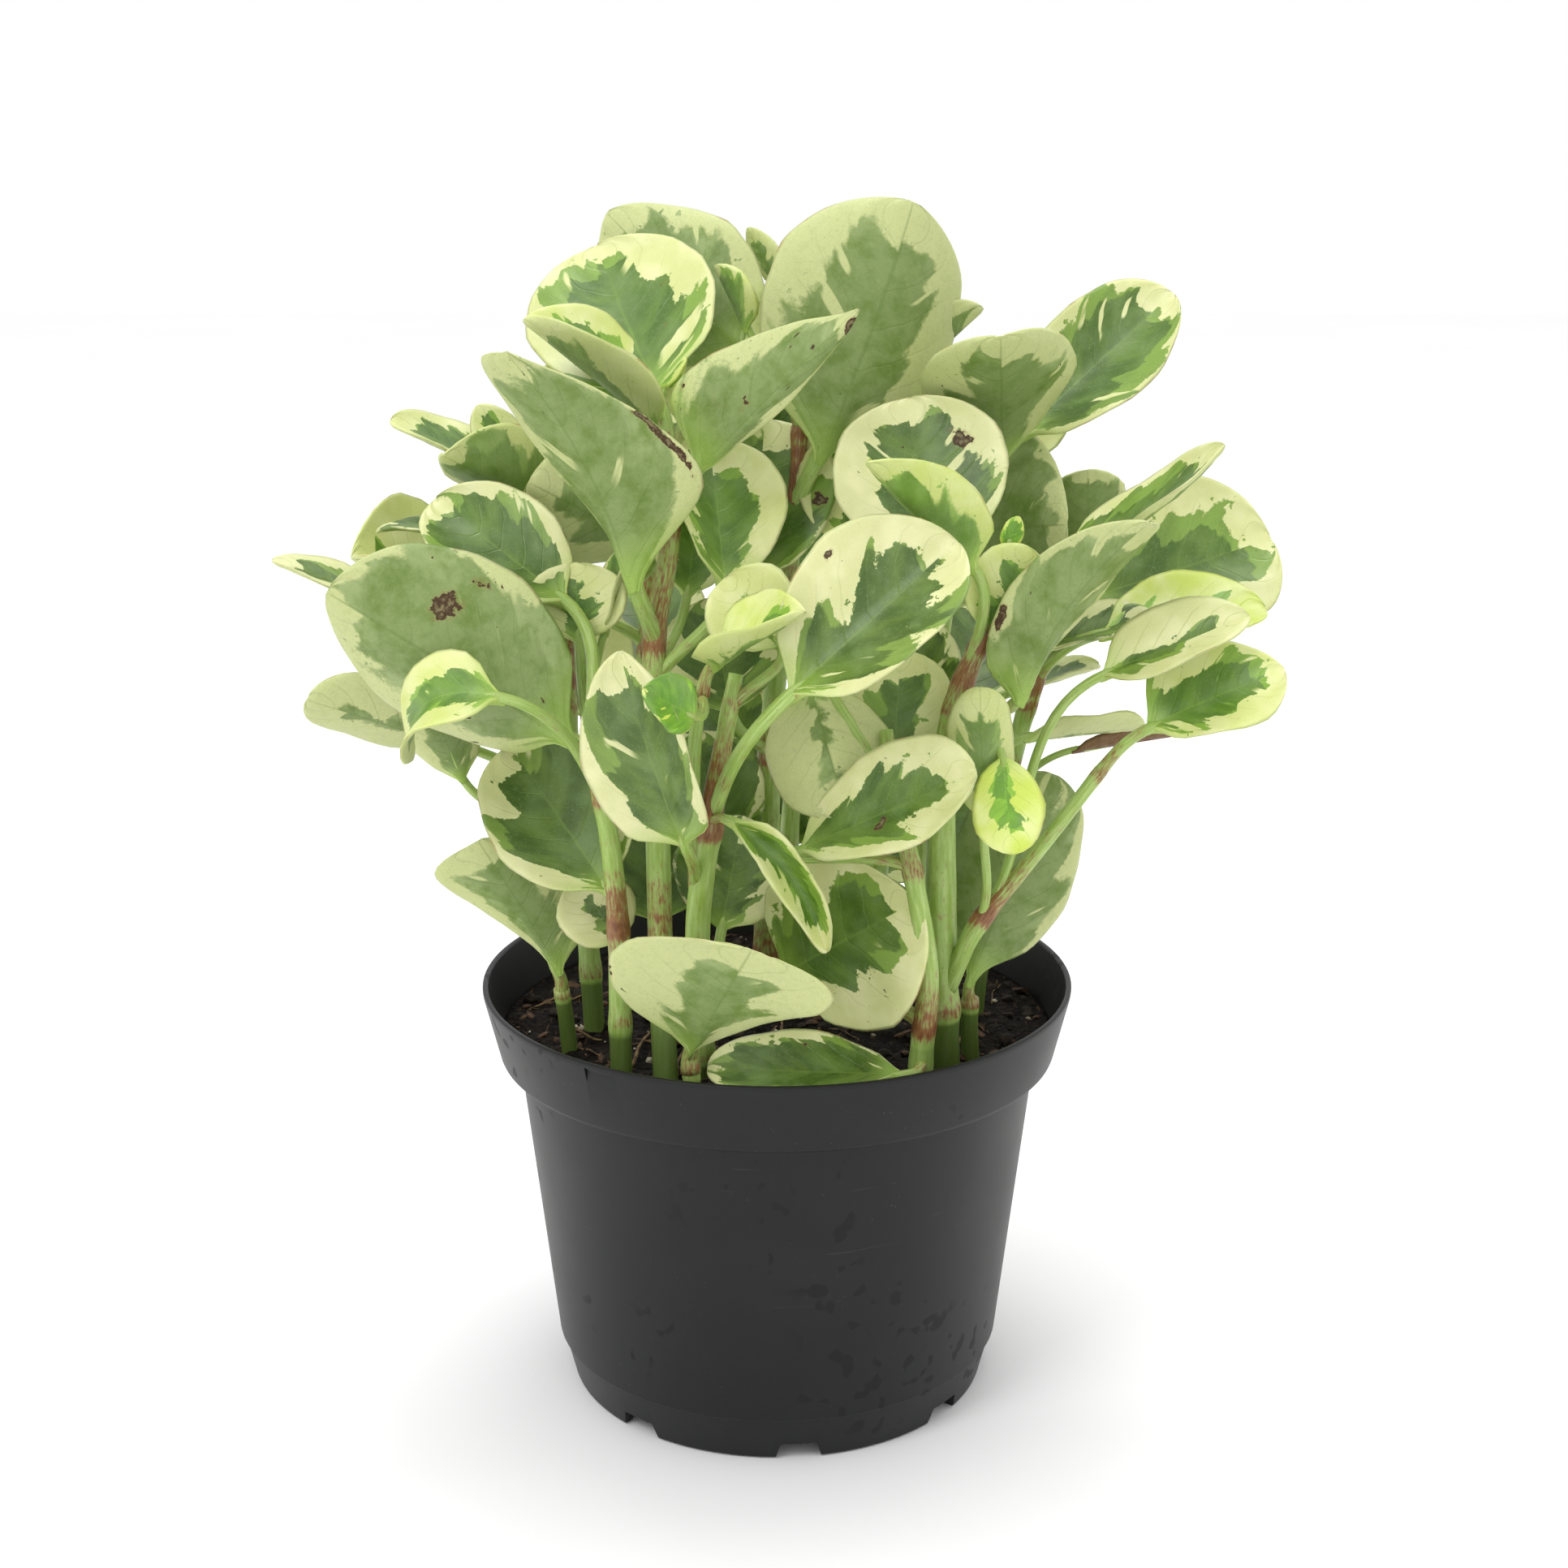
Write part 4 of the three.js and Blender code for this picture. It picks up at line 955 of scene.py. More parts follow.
SHOOTS = (
    Shoot("crown_left", (
        Stem(((-28, -52, 88, 3.4), (-30, -46, 128, 3.3), (-31, -38, 185, 3.2), (-31, -34, 222, 2.9),
             (-27, -32, 246, 2.5), (-27, -26, 270, 1.9)), ruddy=((128, 176), (45, 78))),
    ), (
        Leaf("crown_round", (-30, -22, 281), (-48, 14, 317), (52, 0.5, 0, 5, 20), 0.97, (0.72, 0, 0.2, 0.15),
             scars=((0.33, 0.38, 1.6, 1.6), (0.53, 0.6, 1.8, 1.2))),
        Leaf("crown_cup", (-28, -22, 273), (-63, -30, 301), (42, 0.5, 75, 25, 20), 0.92, (0.55, 0, 0.5, 0.1),
             scars=((0.1, 0.19, 2.6, 3.4), (0.35, 0.31, 1.2, 2.4))),
        Leaf("centre_upper_left", (-13, -33, 233), (-18, -10, 269), (38, 0.6, 30, 20, 15), 0.66,
             (0.6, -0.2, 0.3, 0.1)),
        Leaf("crown_fold", (-20, -33, 264), (20, -45, 305), (42, 0.42, -180, 15, 15), 0.88, (0.75, 0, 0.1, 0.6),
             twist=-30, neck=0.1, halves=((0.2, 0.5), (1, 0.26)),
             scars=((0.88, 0.2, 1.8, 1.5), (0.38, 0.25, 2, 1.6), (0.12, 0.36, 1, 4), (-0.9, 0.93, 1.5, 3))),
        Leaf("front_left_long", (-35, -42, 235), (-64, -58, 296), (60, 0.48, 148, 12, 20), 0.72, (0.8, 0, 0, 0.5),
             arch=0.06, neck=0.3, sweep=-0.03, halves=((0.85, 0.24), (0.56, 0.8)),
             scars=((-0.93, 0.42, 0.9, 10), (-0.97, 0.55, 0.7, 5))),
        Leaf("crown_back_left", (-9, 5, 290), (-46, 30, 325), (44, 0.47, 170, 5, 20), 0.99, (0.65, 0, 0.2, 0.1)),
        Leaf("crown_bud", (-29, -22, 283), (-23, -20, 291), (7, 0.5, 90, 20, 20), 0.99, (0.6, 0, 1, 0)),
        Leaf("inner_left", (-32, -18, 138), (-34, -14, 168), (32, 0.55, 5, 5, 15), 0.22, (0.9, 0, 0, 0)),
        Leaf("inner_crown", (-24, -10, 226), (-20, 0, 256), (26, 0.6, 10, 10, 15), 0.66, (0.8, 0, 0.3, 0)),
    )),
    Shoot("crown_right", (
        Stem(((-3, 6, 88, 3.8), (-3, 4, 130, 3.6), (-2, 0, 180, 3.2), (2, -4, 225, 2.8), (5, -6, 250, 2.4),
             (6, -6, 272, 1.8)), ruddy=((160, 186), (30, 62))),
    ), (
        Leaf("crown_right_big", (10, -12, 263), (35, -2, 329), (60, 0.58, 205, 8, 20), 0.88, (0.68, 0, 0.1, 0.3),
             arch=-0.05),
        Leaf("crown_right_fold", (14, 0, 266), (55, 12, 301), (32, 0.5, -100, 30, 20), 0.9, (0.7, 0, 0.3, 0.1)),
        Leaf("top_small_back", (-7, -4, 296), (-16, -2, 313), (18, 0.5, 100, 20, 20), 0.99, (0.6, 0, 0.8, 0)),
        Leaf("top_tiny", (1, 28, 305), (-8, 32, 321), (10, 0.5, 150, 20, 20), 0.99, (0.3, 0, 0.6, 0)),
        Leaf("back_small_dark", (1, 8, 262), (-4, 14, 283), (20, 0.5, 10, 10, 20), 0.85, (0.9, 0, 0.1, 0)),
        Leaf("centre_back_upper", (-7, -16, 230), (-3, 2, 273), (42, 0.6, 0, 5, 20), 0.68, (0.8, 0, 0.1, 0.3),
             scars=((0.8, 0.54, 2.4, 2.4),)),
        Leaf("centre_back_cream", (18, -12, 240), (18, -2, 271), (26, 0.55, 0, 5, 15), 0.72, (0.1, 0, 0.3, 0.1)),
        Leaf("inner_middle", (-14, -6, 150), (-22, 0, 188), (32, 0.6, 0, 5, 15), 0.3, (0.9, 0, 0, 0.1)),
        Leaf("inner_upper", (-12, -10, 194), (-18, -4, 226), (34, 0.6, 10, 10, 15), 0.5, (0.85, 0, 0.1, 0)),
    )),
    Shoot("right_upper", (
        Stem(((24, -8, 88, 3.2), (26, -6, 130, 3), (32, 0, 180, 2.8), (42, 6, 220, 2.5), (53, 6, 250, 1.9))),
    ), (
        Leaf("right_upper_a", (60, 4, 262), (56, -28, 297), (42, 0.6, 180, 5, 20), 0.98, (0.65, 0, 0.2, 0.4)),
        Leaf("right_upper_b", (64, 4, 267), (105, 10, 305), (34, 0.57, -20, 10, 20), 0.95, (0.75, 0, 0.1, 0.1)),
        Leaf("right_mid_back", (42, 10, 241), (77, -6, 246), (56, 0.55, -170, 10, 15), 0.86, (0.75, 0, 0.1, 0.1)),
        Leaf("right_small_dark", (86, 18, 234), (84, 12, 258), (24, 0.55, 180, 5, 20), 0.8, (0.85, 0, 0.3, 0.1)),
        Leaf("centre_right_round", (41, -36, 240), (33, -14, 280), (47, 0.55, 0, 5, 20), 0.8, (0.72, 0, 0, 0.5),
             scars=((0.55, 0.69, 3, 3),)),
        Leaf("right_centre_dark", (42, -20, 198), (35, -16, 223), (22, 0.55, 0, 10, 20), 0.55, (0.85, 0, 0, 0.1)),
    )),
    Shoot("centre", (
        Stem(((-19, -40, 88, 3.4), (-20, -47, 122, 3.3), (-20, -54, 152, 3.2), (-16, -57, 182, 3),
             (-13, -56, 200, 2.3), (-10, -52, 216, 1.9)), ruddy=((86, 122),)),
        Stem(((-20, -54, 155, 1.9), (-21, -58, 180, 1.9), (-20, -60, 202, 1.7), (-18, -62, 214, 1.4))),
    ), (
        Leaf("centre_big", (2, -72, 214), (44, -62, 251), (46, 0.57, -28, 18, 15), 0.7, (0.6, 0.3, 0, 0.3),
             scars=((-0.82, 0.54, 1.3, 2),)),
        Leaf("centre_twist", (-13, -63, 182), (13, -70, 149), (19, 0.5, 0, 35, 45), 0.69, (0.6, 0, 0.3, 0.1),
             arch=0.05, twist=30, sweep=-0.1),
        Leaf("front_centre_left", (-22, -66, 174), (-37, -75, 227), (33, 0.5, -25, 20, 15), 0.1, (0.68, 0, 0, 0.2),
             stem=1, arch=0.05),
        Leaf("centre_small_yellow", (-16, -61, 220), (7, -74, 236), (34, 0.38, -75, 20, 20), 0.98,
             (0.45, 0, 0.7, 0.1), stem=1),
        Leaf("centre_cream_left", (2, -50, 222), (-13, -40, 238), (26, 0.55, 0, 10, 20), 0.93, (0.15, 0, 0.3, 0.1)),
        Leaf("small_bright", (-19, -79, 211), (-31, -89, 221), (15, 0.5, 20, 10, 20), 0.95, (1.1, 0, 1, 0), stem=1),
        Leaf("inner_low", (-15, -28, 139), (-9, -24, 171), (32, 0.55, -10, 5, 15), 0.18, (0.75, -0.5, 0, 0.1)),
    )),
    Shoot("left_front", (
        Stem(((-41, -44, 88, 3), (-41, -46, 125, 2.9), (-41, -49, 150, 2.8), (-43, -50, 175, 2.5),
             (-47, -48, 195, 2.1)), ruddy=((46, 80),)),
    ), (
        Leaf("left_front_big", (-50, -48, 197), (-113, -42, 235), (57, 0.55, 155, 20, 15), 0.97,
             (0.72, -0.25, 0, 0.6), scars=((-0.45, 0.63, 4.5, 4), (-0.8, 0.56, 1.2, 5))),
        Leaf("left_curl", (-66, -62, 212), (-91, -54, 195), (30, 0.5, 50, 10, 10), 0.88, (0.5, 0, 0.5, 0.3),
             arch=0.35),
        Leaf("left_low_dark", (-42, -50, 157), (-70, -30, 192), (40, 0.55, 10, 10, 20), 0.55, (0.75, 0, 0, 0.2)),
        Leaf("left_small_cream", (-51, -28, 218), (-52, -23, 239), (28, 0.55, 0, 5, 20), 0.98, (0.35, 0, 0.3, 0.1)),
        Leaf("left_round", (-53, -29, 229), (-89, -15, 254), (42, 0.55, 30, 10, 20), 0.97, (0.7, 0, 0.1, 0.1),
             halves=((1, 0.55), (0.8, 0.55))),
        Leaf("small_dark_mid", (-45, -26, 220), (-38, -22, 243), (14, 0.5, -60, 20, 20), 0.99, (0.7, 0, 0.3, 0.2)),
        Leaf("low_left_pale", (-40, -42, 141), (-53, -38, 158), (22, 0.55, 0, 5, 20), 0.3, (0.3, 0, 0, 0.1)),
    )),
    Shoot("left_back", (
        Stem(((-50, -12, 88, 3), (-52, -10, 130, 2.9), (-56, -6, 180, 2.6), (-58, 2, 215, 2.3),
             (-60, 8, 240, 1.8))),
    ), (
        Leaf("left_pair_b", (-62, 6, 249), (-87, -10, 265), (34, 0.5, 130, 20, 20), 0.95, (0.7, 0, 0.6, 0.1)),
        Leaf("left_pair_a", (-70, 14, 256), (-103, 5, 272), (22, 0.55, 60, 10, 15), 0.98, (0.55, 0, 0.2, 0)),
        Leaf("left_peek", (-68, 10, 258), (-81, 14, 275), (14, 0.5, 0, 10, 20), 0.99, (0.5, 0, 0.3, 0)),
        Leaf("left_mid_cream", (-34, -6, 241), (-65, -10, 258), (44, 0.55, 150, 10, 20), 0.8, (0.35, 0, 0.3, 0.1)),
        Leaf("left_far_round", (-86, 2, 228), (-112, -12, 238), (46, 0.5, 60, 30, 20), 0.75, (0.35, 0, 0.3, 0.1)),
        Leaf("left_small_dark", (-85, -14, 243), (-105, -12, 245), (14, 0.5, 70, 10, 10), 0.85, (0.85, 0, 0, 0),
             arch=0.1),
        Leaf("left_far_narrow", (-105, 8, 222), (-136, 2, 235), (16, 0.5, 60, 10, 20), 0.7, (0.5, 0, 0, 0)),
        Leaf("left_low_cream", (-88, -5, 186), (-124, -20, 202), (30, 0.6, 130, 5, 15), 0.5, (0.2, 0, 0.1, 0)),
        Leaf("left_behind_curl", (-84, -16, 178), (-92, -20, 202), (20, 0.6, 180, 5, 20), 0.45, (0.5, 0, 0.2, 0.1)),
        Leaf("left_low_back", (-63, -22, 187), (-70, -22, 204), (18, 0.55, 180, 5, 20), 0.5, (0.4, 0, 0.1, 0)),
    )),
    Shoot("left_low", (
        Stem(((-56, -24, 88, 2.2), (-57, -26, 112, 2.2), (-58, -29, 124, 1.9))),
    ), (
        Leaf("left_bottom_cream", (-58, -30, 128), (-79, -26, 165), (40, 0.6, 180, 5, 15), 0.95, (0.5, 0, 0.1, 0.1),
             neck=0.2, halves=((0.95, 0.42), (0.8, 0.9))),
    )),
    Shoot("front_low", (
        Stem(((-21, -60, 88, 2.4), (-21, -62, 104, 2.4), (-22, -63, 115, 2.1))),
    ), (
        Leaf("front_bottom", (-22, -62, 119), (-6, -88, 156), (60, 0.55, 192, 0, -8), 0.95, (0.5, 0, 0.1, 0.5),
             neck=0.2, halves=((0.8, 0.86), (1, 0.6)), scars=((1.0, 0.53, 1.4, 2.2),)),
    )),
    Shoot("right_front", (
        Stem(((37, -50, 88, 3.1), (38, -52, 116, 3.1), (39, -54, 136, 2.9), (35, -55, 163, 2.5),
             (29, -50, 190, 2.1), (28, -46, 200, 1.7)), ruddy=((28, 56),)),
    ), (
        Leaf("right_low_front", (4, -52, 169), (49, -72, 196), (32, 0.66, -28, 18, 15), 0.68, (0.6, 0, 0.1, 0.1),
             scars=((0.23, 0.51, 2.4, 1.6), (0.35, 0.42, 1.4, 1.4))),
        Leaf("centre_low_cream", (8, -40, 212), (18, -56, 180), (34, 0.55, 180, 5, 20), 0.8, (0.15, 0, 0.2, 0.1)),
        Leaf("centre_right_back", (30, -38, 184), (32, -28, 217), (30, 0.6, 10, 5, 20), 0.85, (0.35, 0, 0.2, 0)),
        Leaf("centre_low_round", (1, -30, 128), (36, -56, 158), (52, 0.55, 0, 5, 20), 0.3, (0.6, -0.2, 0.1, 0.1)),
        Leaf("front_soil_leaf", (35, -61, 112), (-18, -59, 113), (28, 0.6, 54, 5, 10), 0.2, (0.85, 0, 0, 0.3),
             scars=((0.58, 0.51, 1.8, 1.5),)),
    )),
    Shoot("right_main", (
        Stem(((45, -36, 88, 4.8), (44, -38, 118, 4.7), (43, -40, 150, 4.2), (43, -42, 190, 3.4),
             (47, -42, 210, 2.8), (53, -40, 224, 2.2))),
        Stem(((45, -40, 128, 2.6), (52, -45, 147, 2.4), (62, -44, 160, 2.1), (73, -40, 173, 1.9),
             (84, -37, 187, 1.7))),
    ), (
        Leaf("right_s_upper", (52, -58, 178), (50, -62, 215), (18, 0.6, 180, 5, 20), 0.3, (0.5, 0, 0.6, 0), stem=1),
        Leaf("right_s_lower", (56, -60, 198), (58, -72, 175), (19, 0.6, 0, 5, 20), 0.75, (0.3, 0, 1, 0)),
        Leaf("centre_right_bent", (50, -45, 241), (22, -60, 270), (32, 0.5, 110, 20, 20), 0.9, (0.6, 0, 0.9, 0)),
        Leaf("right_cream_mid", (54, -40, 222), (63, -38, 246), (24, 0.55, 0, 5, 20), 0.97, (0.35, 0, 0.5, 0)),
        Leaf("right_bud", (58, -36, 244), (61, -36, 253), (6, 0.5, 0, 5, 20), 0.99, (0.8, 0, 1, 0)),
        Leaf("right_mid_fold", (60, -50, 207), (90, -58, 255), (40, 0.5, -150, 25, 15), 0.85, (0.7, 0, 0, 0.6),
             arch=0.12, neck=0.1, halves=((0.6, 0.75), (0.75, 0.38)), scars=((0.88, 0.3, 1.4, 3.6),)),
        Leaf("right_arm", (94, -42, 199), (128, -46, 216), (31, 0.6, -30, 10, 15), 0.98, (0.65, 0, 0.4, 0.1),
             stem=1, neck=0.16, halves=((1.08, 0.42), (0.9, 0.66))),
        Leaf("right_white_fold", (82, -38, 212), (119, -44, 229), (24, 0.5, -40, 15, 20), 0.35, (0.3, 0, 0.1, 0.1),
             stem=1),
    )),
    Shoot("right_low", (
        Stem(((54, -28, 88, 2.4), (52, -30, 112, 2.4), (52, -31, 122, 2.1))),
    ), (
        Leaf("right_low_big", (51, -32, 125), (74, -14, 180), (36, 0.6, 180, 10, 15), 0.95, (1, 0.1, 0, 0.3),
             neck=0.25),
    )),
    Shoot("right_back", (
        Stem(((54, 0, 88, 3.2), (58, 4, 130, 3), (63, 2, 170, 2.7), (69, -4, 200, 2.4), (76, -6, 222, 1.9))),
    ), (
        Leaf("right_back_round", (82, 0, 224), (135, 12, 239), (50, 0.6, -20, 5, 20), 0.95, (0.62, 0, 0.1, 0.1)),
        Leaf("right_yellow", (85, -14, 218), (130, -10, 224), (34, 0.55, -50, 10, 15), 0.85, (0.35, 0, 0.9, 0)),
        Leaf("right_dark_flat", (67, -12, 213), (100, -12, 223), (22, 0.55, -60, 10, 15), 0.8, (0.75, 0, 0, 0.1)),
        Leaf("right_narrow_up", (72, -24, 241), (112, -36, 271), (26, 0.5, -70, 10, 20), 0.97, (0.65, 0, 0.1, 0.1),
             arch=-0.08),
        Leaf("right_edge_on", (66, -14, 190), (99, -10, 192), (26, 0.55, -100, 5, 10), 0.6, (0.1, 0, 0.3, 0)),
        Leaf("right_dry", (80, -5, 184), (112, -2, 188), (10, 0.5, -90, 30, 30), 0.55, (0, 0, 0, 2)),
    )),
    Shoot("back_left", (
        Stem(((-32, 16, 88, 3.2), (-34, 20, 130, 3), (-38, 26, 180, 2.7), (-36, 30, 220, 2.3),
             (-34, 32, 250, 1.8))),
    ), (
        Leaf("back_left_a", (-52, 40, 180), (-68, 54, 212), (40, 0.58, 30, 10, 20), 0.4, (0.6, 0, 0.1, 0.2)),
        Leaf("back_left_b", (-36, 50, 186), (-46, 86, 214), (46, 0.58, 0, 10, 20), 0.52, (0.7, 0, 0, 0.1)),
        Leaf("back_left_c", (-62, 28, 220), (-90, 34, 244), (38, 0.58, 60, 10, 20), 0.72, (0.55, 0, 0.2, 0.1)),
        Leaf("back_left_d", (-28, 46, 236), (-22, 80, 266), (44, 0.58, 0, 10, 20), 0.82, (0.65, 0, 0.1, 0.3)),
        Leaf("back_left_e", (-46, 38, 258), (-52, 44, 292), (38, 0.58, 10, 10, 20), 0.97, (0.7, 0, 0.3, 0)),
        Leaf("back_left_f", (-26, 36, 264), (-10, 46, 304), (40, 0.58, -20, 10, 20), 0.97, (0.6, 0, 0.4, 0)),
    )),
    Shoot("back_middle", (
        Stem(((3, 32, 88, 3.2), (3, 38, 125, 3), (5, 44, 165, 2.6), (11, 48, 195, 2))),
    ), (
        Leaf("back_middle_a", (-4, 58, 156), (-26, 80, 180), (46, 0.58, 30, 10, 20), 0.4, (0.7, 0, 0, 0.3)),
        Leaf("back_middle_b", (24, 52, 128), (64, 68, 154), (44, 0.58, -30, 10, 20), 0.35, (0.55, 0, 0.1, 0.2)),
        Leaf("back_middle_c", (6, 60, 188), (-6, 91, 214), (44, 0.58, 0, 10, 20), 0.8, (0.65, 0, 0.1, 0.1)),
        Leaf("back_middle_d", (18, 58, 208), (24, 86, 243), (44, 0.58, 0, 10, 20), 0.97, (0.75, 0, 0.2, 0.1)),
        Leaf("back_middle_e", (3, 50, 138), (9, 55, 168), (22, 0.55, 10, 10, 15), 0.25, (0.8, 0, 0, 0.1)),
    )),
    Shoot("back_right", (
        Stem(((38, 18, 88, 3.2), (40, 22, 130, 3), (44, 28, 180, 2.7), (48, 32, 220, 2.3), (52, 32, 250, 1.8))),
    ), (
        Leaf("back_right_a", (64, 34, 190), (93, 38, 198), (20, 0.58, -70, 10, 20), 0.5, (0.6, 0, 0.1, 0.1)),
        Leaf("back_right_b", (54, 54, 180), (63, 88, 209), (44, 0.58, 0, 10, 20), 0.58, (0.7, 0, 0, 0.2)),
        Leaf("back_right_c", (72, 38, 222), (98, 48, 240), (36, 0.58, -60, 10, 20), 0.78, (0.6, 0, 0.2, 0.1)),
        Leaf("back_right_d", (42, 46, 236), (36, 78, 267), (42, 0.58, 0, 10, 20), 0.88, (0.55, 0, 0.1, 0.2)),
        Leaf("back_right_e", (60, 36, 252), (70, 46, 284), (38, 0.58, -10, 10, 20), 0.97, (0.75, 0, 0.3, 0)),
        Leaf("back_right_f", (36, 30, 246), (24, 34, 270), (30, 0.58, 20, 10, 20), 0.97, (0.65, 0, 0.5, 0)),
    )),
)


def rounded(corners: Iterable[Point], steps: int = 4) -> list[tuple[float, float]]:
    """Rounds the corners of an open profile.

    Args:
        corners: The radius and height of each corner, with the size of its rounding.
        steps: How many edges each rounded corner gets.

    Returns:
        The radius and height of each point of the rounded profile.
    """
    table = list(corners)
    made = [table[0][:2]]
    for before, here, after in zip(table, table[1:], table[2:]):
        corner = np.array(here[:2])
        back, ahead = np.array(before[:2]) - corner, np.array(after[:2]) - corner
        size = min(here[2], 0.45 * np.linalg.norm(back), 0.45 * np.linalg.norm(ahead))
        start, end = corner + unit(back) * size, corner + unit(ahead) * size
        for t in np.linspace(0, 1, steps + 1 if size > 0 else 1):
            made.append(tuple(start * (1 - t) ** 2 + corner * 2 * t * (1 - t) + end * t * t))
    made.append(table[-1][:2])
    return made


def spun(profile: Iterable[tuple[float, float]], steps: int) -> bmesh.types.BMesh:
    """Spins a profile that starts and ends on the axis into a closed body.

    Args:
        profile: The radius and height of each point in millimetres.
        steps: How many faces go around.

    Returns:
        The body in metres.
    """
    mesh = bmesh.new()
    verts = [mesh.verts.new((r * MM, 0, z * MM)) for r, z in profile]
    edges = [mesh.edges.new(pair) for pair in zip(verts, verts[1:])]
    bmesh.ops.spin(mesh, geom=[*verts, *edges], cent=(0, 0, 0), axis=(0, 0, 1), angle=TURN,
                   steps=steps, use_merge=True)
    bmesh.ops.remove_doubles(mesh, verts=mesh.verts[:], dist=1e-7)
    bmesh.ops.recalc_face_normals(mesh, faces=mesh.faces[:])
    return mesh


@dataclass
class Pot:
    """The nursery pot: a tapered body on a notched foot ring, under a flared collar. Millimetres.

    notch holds the foot notches' width, height, slant and depth, drain the inner and outer radius of
    the slots, and tag the recess's width, height, depth, level and angle round the rim.
    """

    height: float = 117.7
    rim: float = 82.5
    collar_foot: float = 77.8
    collar_level: float = 97.5
    body_top: float = 72.8
    seam: float = 62.6
    seam_level: float = 13.3
    seam_step: float = 0.8
    foot: float = 59.3
    foot_ring: float = 3.0
    wall: float = 1.6
    floor: float = 60.0
    floor_under: float = 3.8
    floor_top: float = 6.4
    notches: int = 8
    notch: tuple[float, float, float, float] = (13.0, 4.8, 1.5, 12.0)
    notch_turn: float = 0.1
    drain: tuple[float, float] = (48.0, 56.0)
    tag: tuple[float, float, float, float, float] = (9.6, 5.8, 0.5, 113.6, -2.15)
    sides: int = 176
    crease: float = 32.0

    def body(self) -> bmesh.types.BMesh:
        """Spins the pot's wall and floor, with rounded edges."""
        wall = self.wall
        return spun(
            rounded(
                (
                    (0, self.floor_under, 0),
                    (self.foot - self.foot_ring, self.floor_under, 0.5),
                    (self.foot - self.foot_ring, 0, 0.4),
                    (self.foot, 0, 0.7),
                    (self.seam, self.seam_level, 0.15),
                    (self.seam + self.seam_step, self.seam_level, 0.4),
                    (self.body_top, self.collar_level, 0.8),
                    (self.collar_foot, self.collar_level, 1.6),
                    (self.rim - 0.1, self.height - 1.2, 0.8),
                    (self.rim - 0.1, self.height, 0.7),
                    (self.rim - wall, self.height, 0.7),
                    (self.collar_foot - wall, self.collar_level + wall, 0.8),
                    (self.body_top - wall, self.collar_level + wall, 0.8),
                    (self.floor, self.floor_top, 0.8),
                    (0, self.floor_top, 0),
                )
            ),
            self.sides,
        )

    def cutters(self) -> bmesh.types.BMesh:
        """Makes the blocks that cut the foot's notches, the drain slots and the tag's recess.

        Returns:
            All blocks as one mesh in metres.
        """
        mesh = bmesh.new()
        width, high, slant, depth = self.notch

        def block(size: Point, centre: Point, turn: float, narrow: float = 0.0) -> None:
            """Adds a block, turned about the pot's axis.

            Args:
                size: Its width, depth and height.
                centre: Its middle before the turn.
                turn: The turn in radians.
                narrow: How much narrower its top is on each side.
            """
            made = bmesh.ops.create_cube(mesh, size=1.0)["verts"]
            for vert in made:
                share = 1 - 2 * narrow / size[0] if vert.co.z > 0 else 1
                vert.co = Vector((vert.co.x * size[0] * share, vert.co.y * size[1], vert.co.z * size[2])) * MM
            bmesh.ops.translate(mesh, verts=made, vec=Vector(centre) * MM)
            bmesh.ops.rotate(mesh, verts=made, cent=(0, 0, 0), matrix=Matrix.Rotation(turn, 3, "Z"))

        for i in range(self.notches):
            turn = self.notch_turn + TURN * i / self.notches
            block((width, depth, high + 1), (0, self.foot + 6 - depth / 2, (high - 1) / 2), turn, slant)
            inner, outer = self.drain
            block((width - 2 * slant - 1, outer - inner, 8), (0, (inner + outer) / 2, self.floor_top), turn)
        wide, tall, deep, level, angle = self.tag
        slope = (self.rim - self.collar_foot) / (self.height - 0.8 - self.collar_level)
        radius = self.collar_foot + slope * (level - self.collar_level)
        block((wide, deep * 2, tall), (0, radius, level), angle - math.pi / 2)
        return mesh

    def build(self, finish: bpy.types.Material) -> bpy.types.Object:
        """Makes the pot.

        Args:
            finish: The pot's material.

        Returns:
            The piece.
        """
        blocks = bpy.data.meshes.new("pot_cuts")
        self.cutters().to_mesh(blocks)
        cutter = bpy.data.objects.new("pot_cuts", blocks)
        bpy.context.scene.collection.objects.link(cutter)
        piece = dressed("plastic_pot", self.body(), finish, "pot")
        cut = piece.modifiers.new("cuts", "BOOLEAN")
        cut.operation, cut.solver, cut.object, cut.use_self = "DIFFERENCE", "EXACT", cutter, True
        bpy.context.view_layer.update()
        whole = bpy.data.meshes.new_from_object(piece.evaluated_get(bpy.context.evaluated_depsgraph_get()))
        piece.modifiers.clear()
        piece.data = whole
        bpy.data.objects.remove(cutter)
        whole.polygons.foreach_set("use_smooth", [True] * len(whole.polygons))
        whole.set_sharp_from_angle(angle=math.radians(self.crease))
        return piece


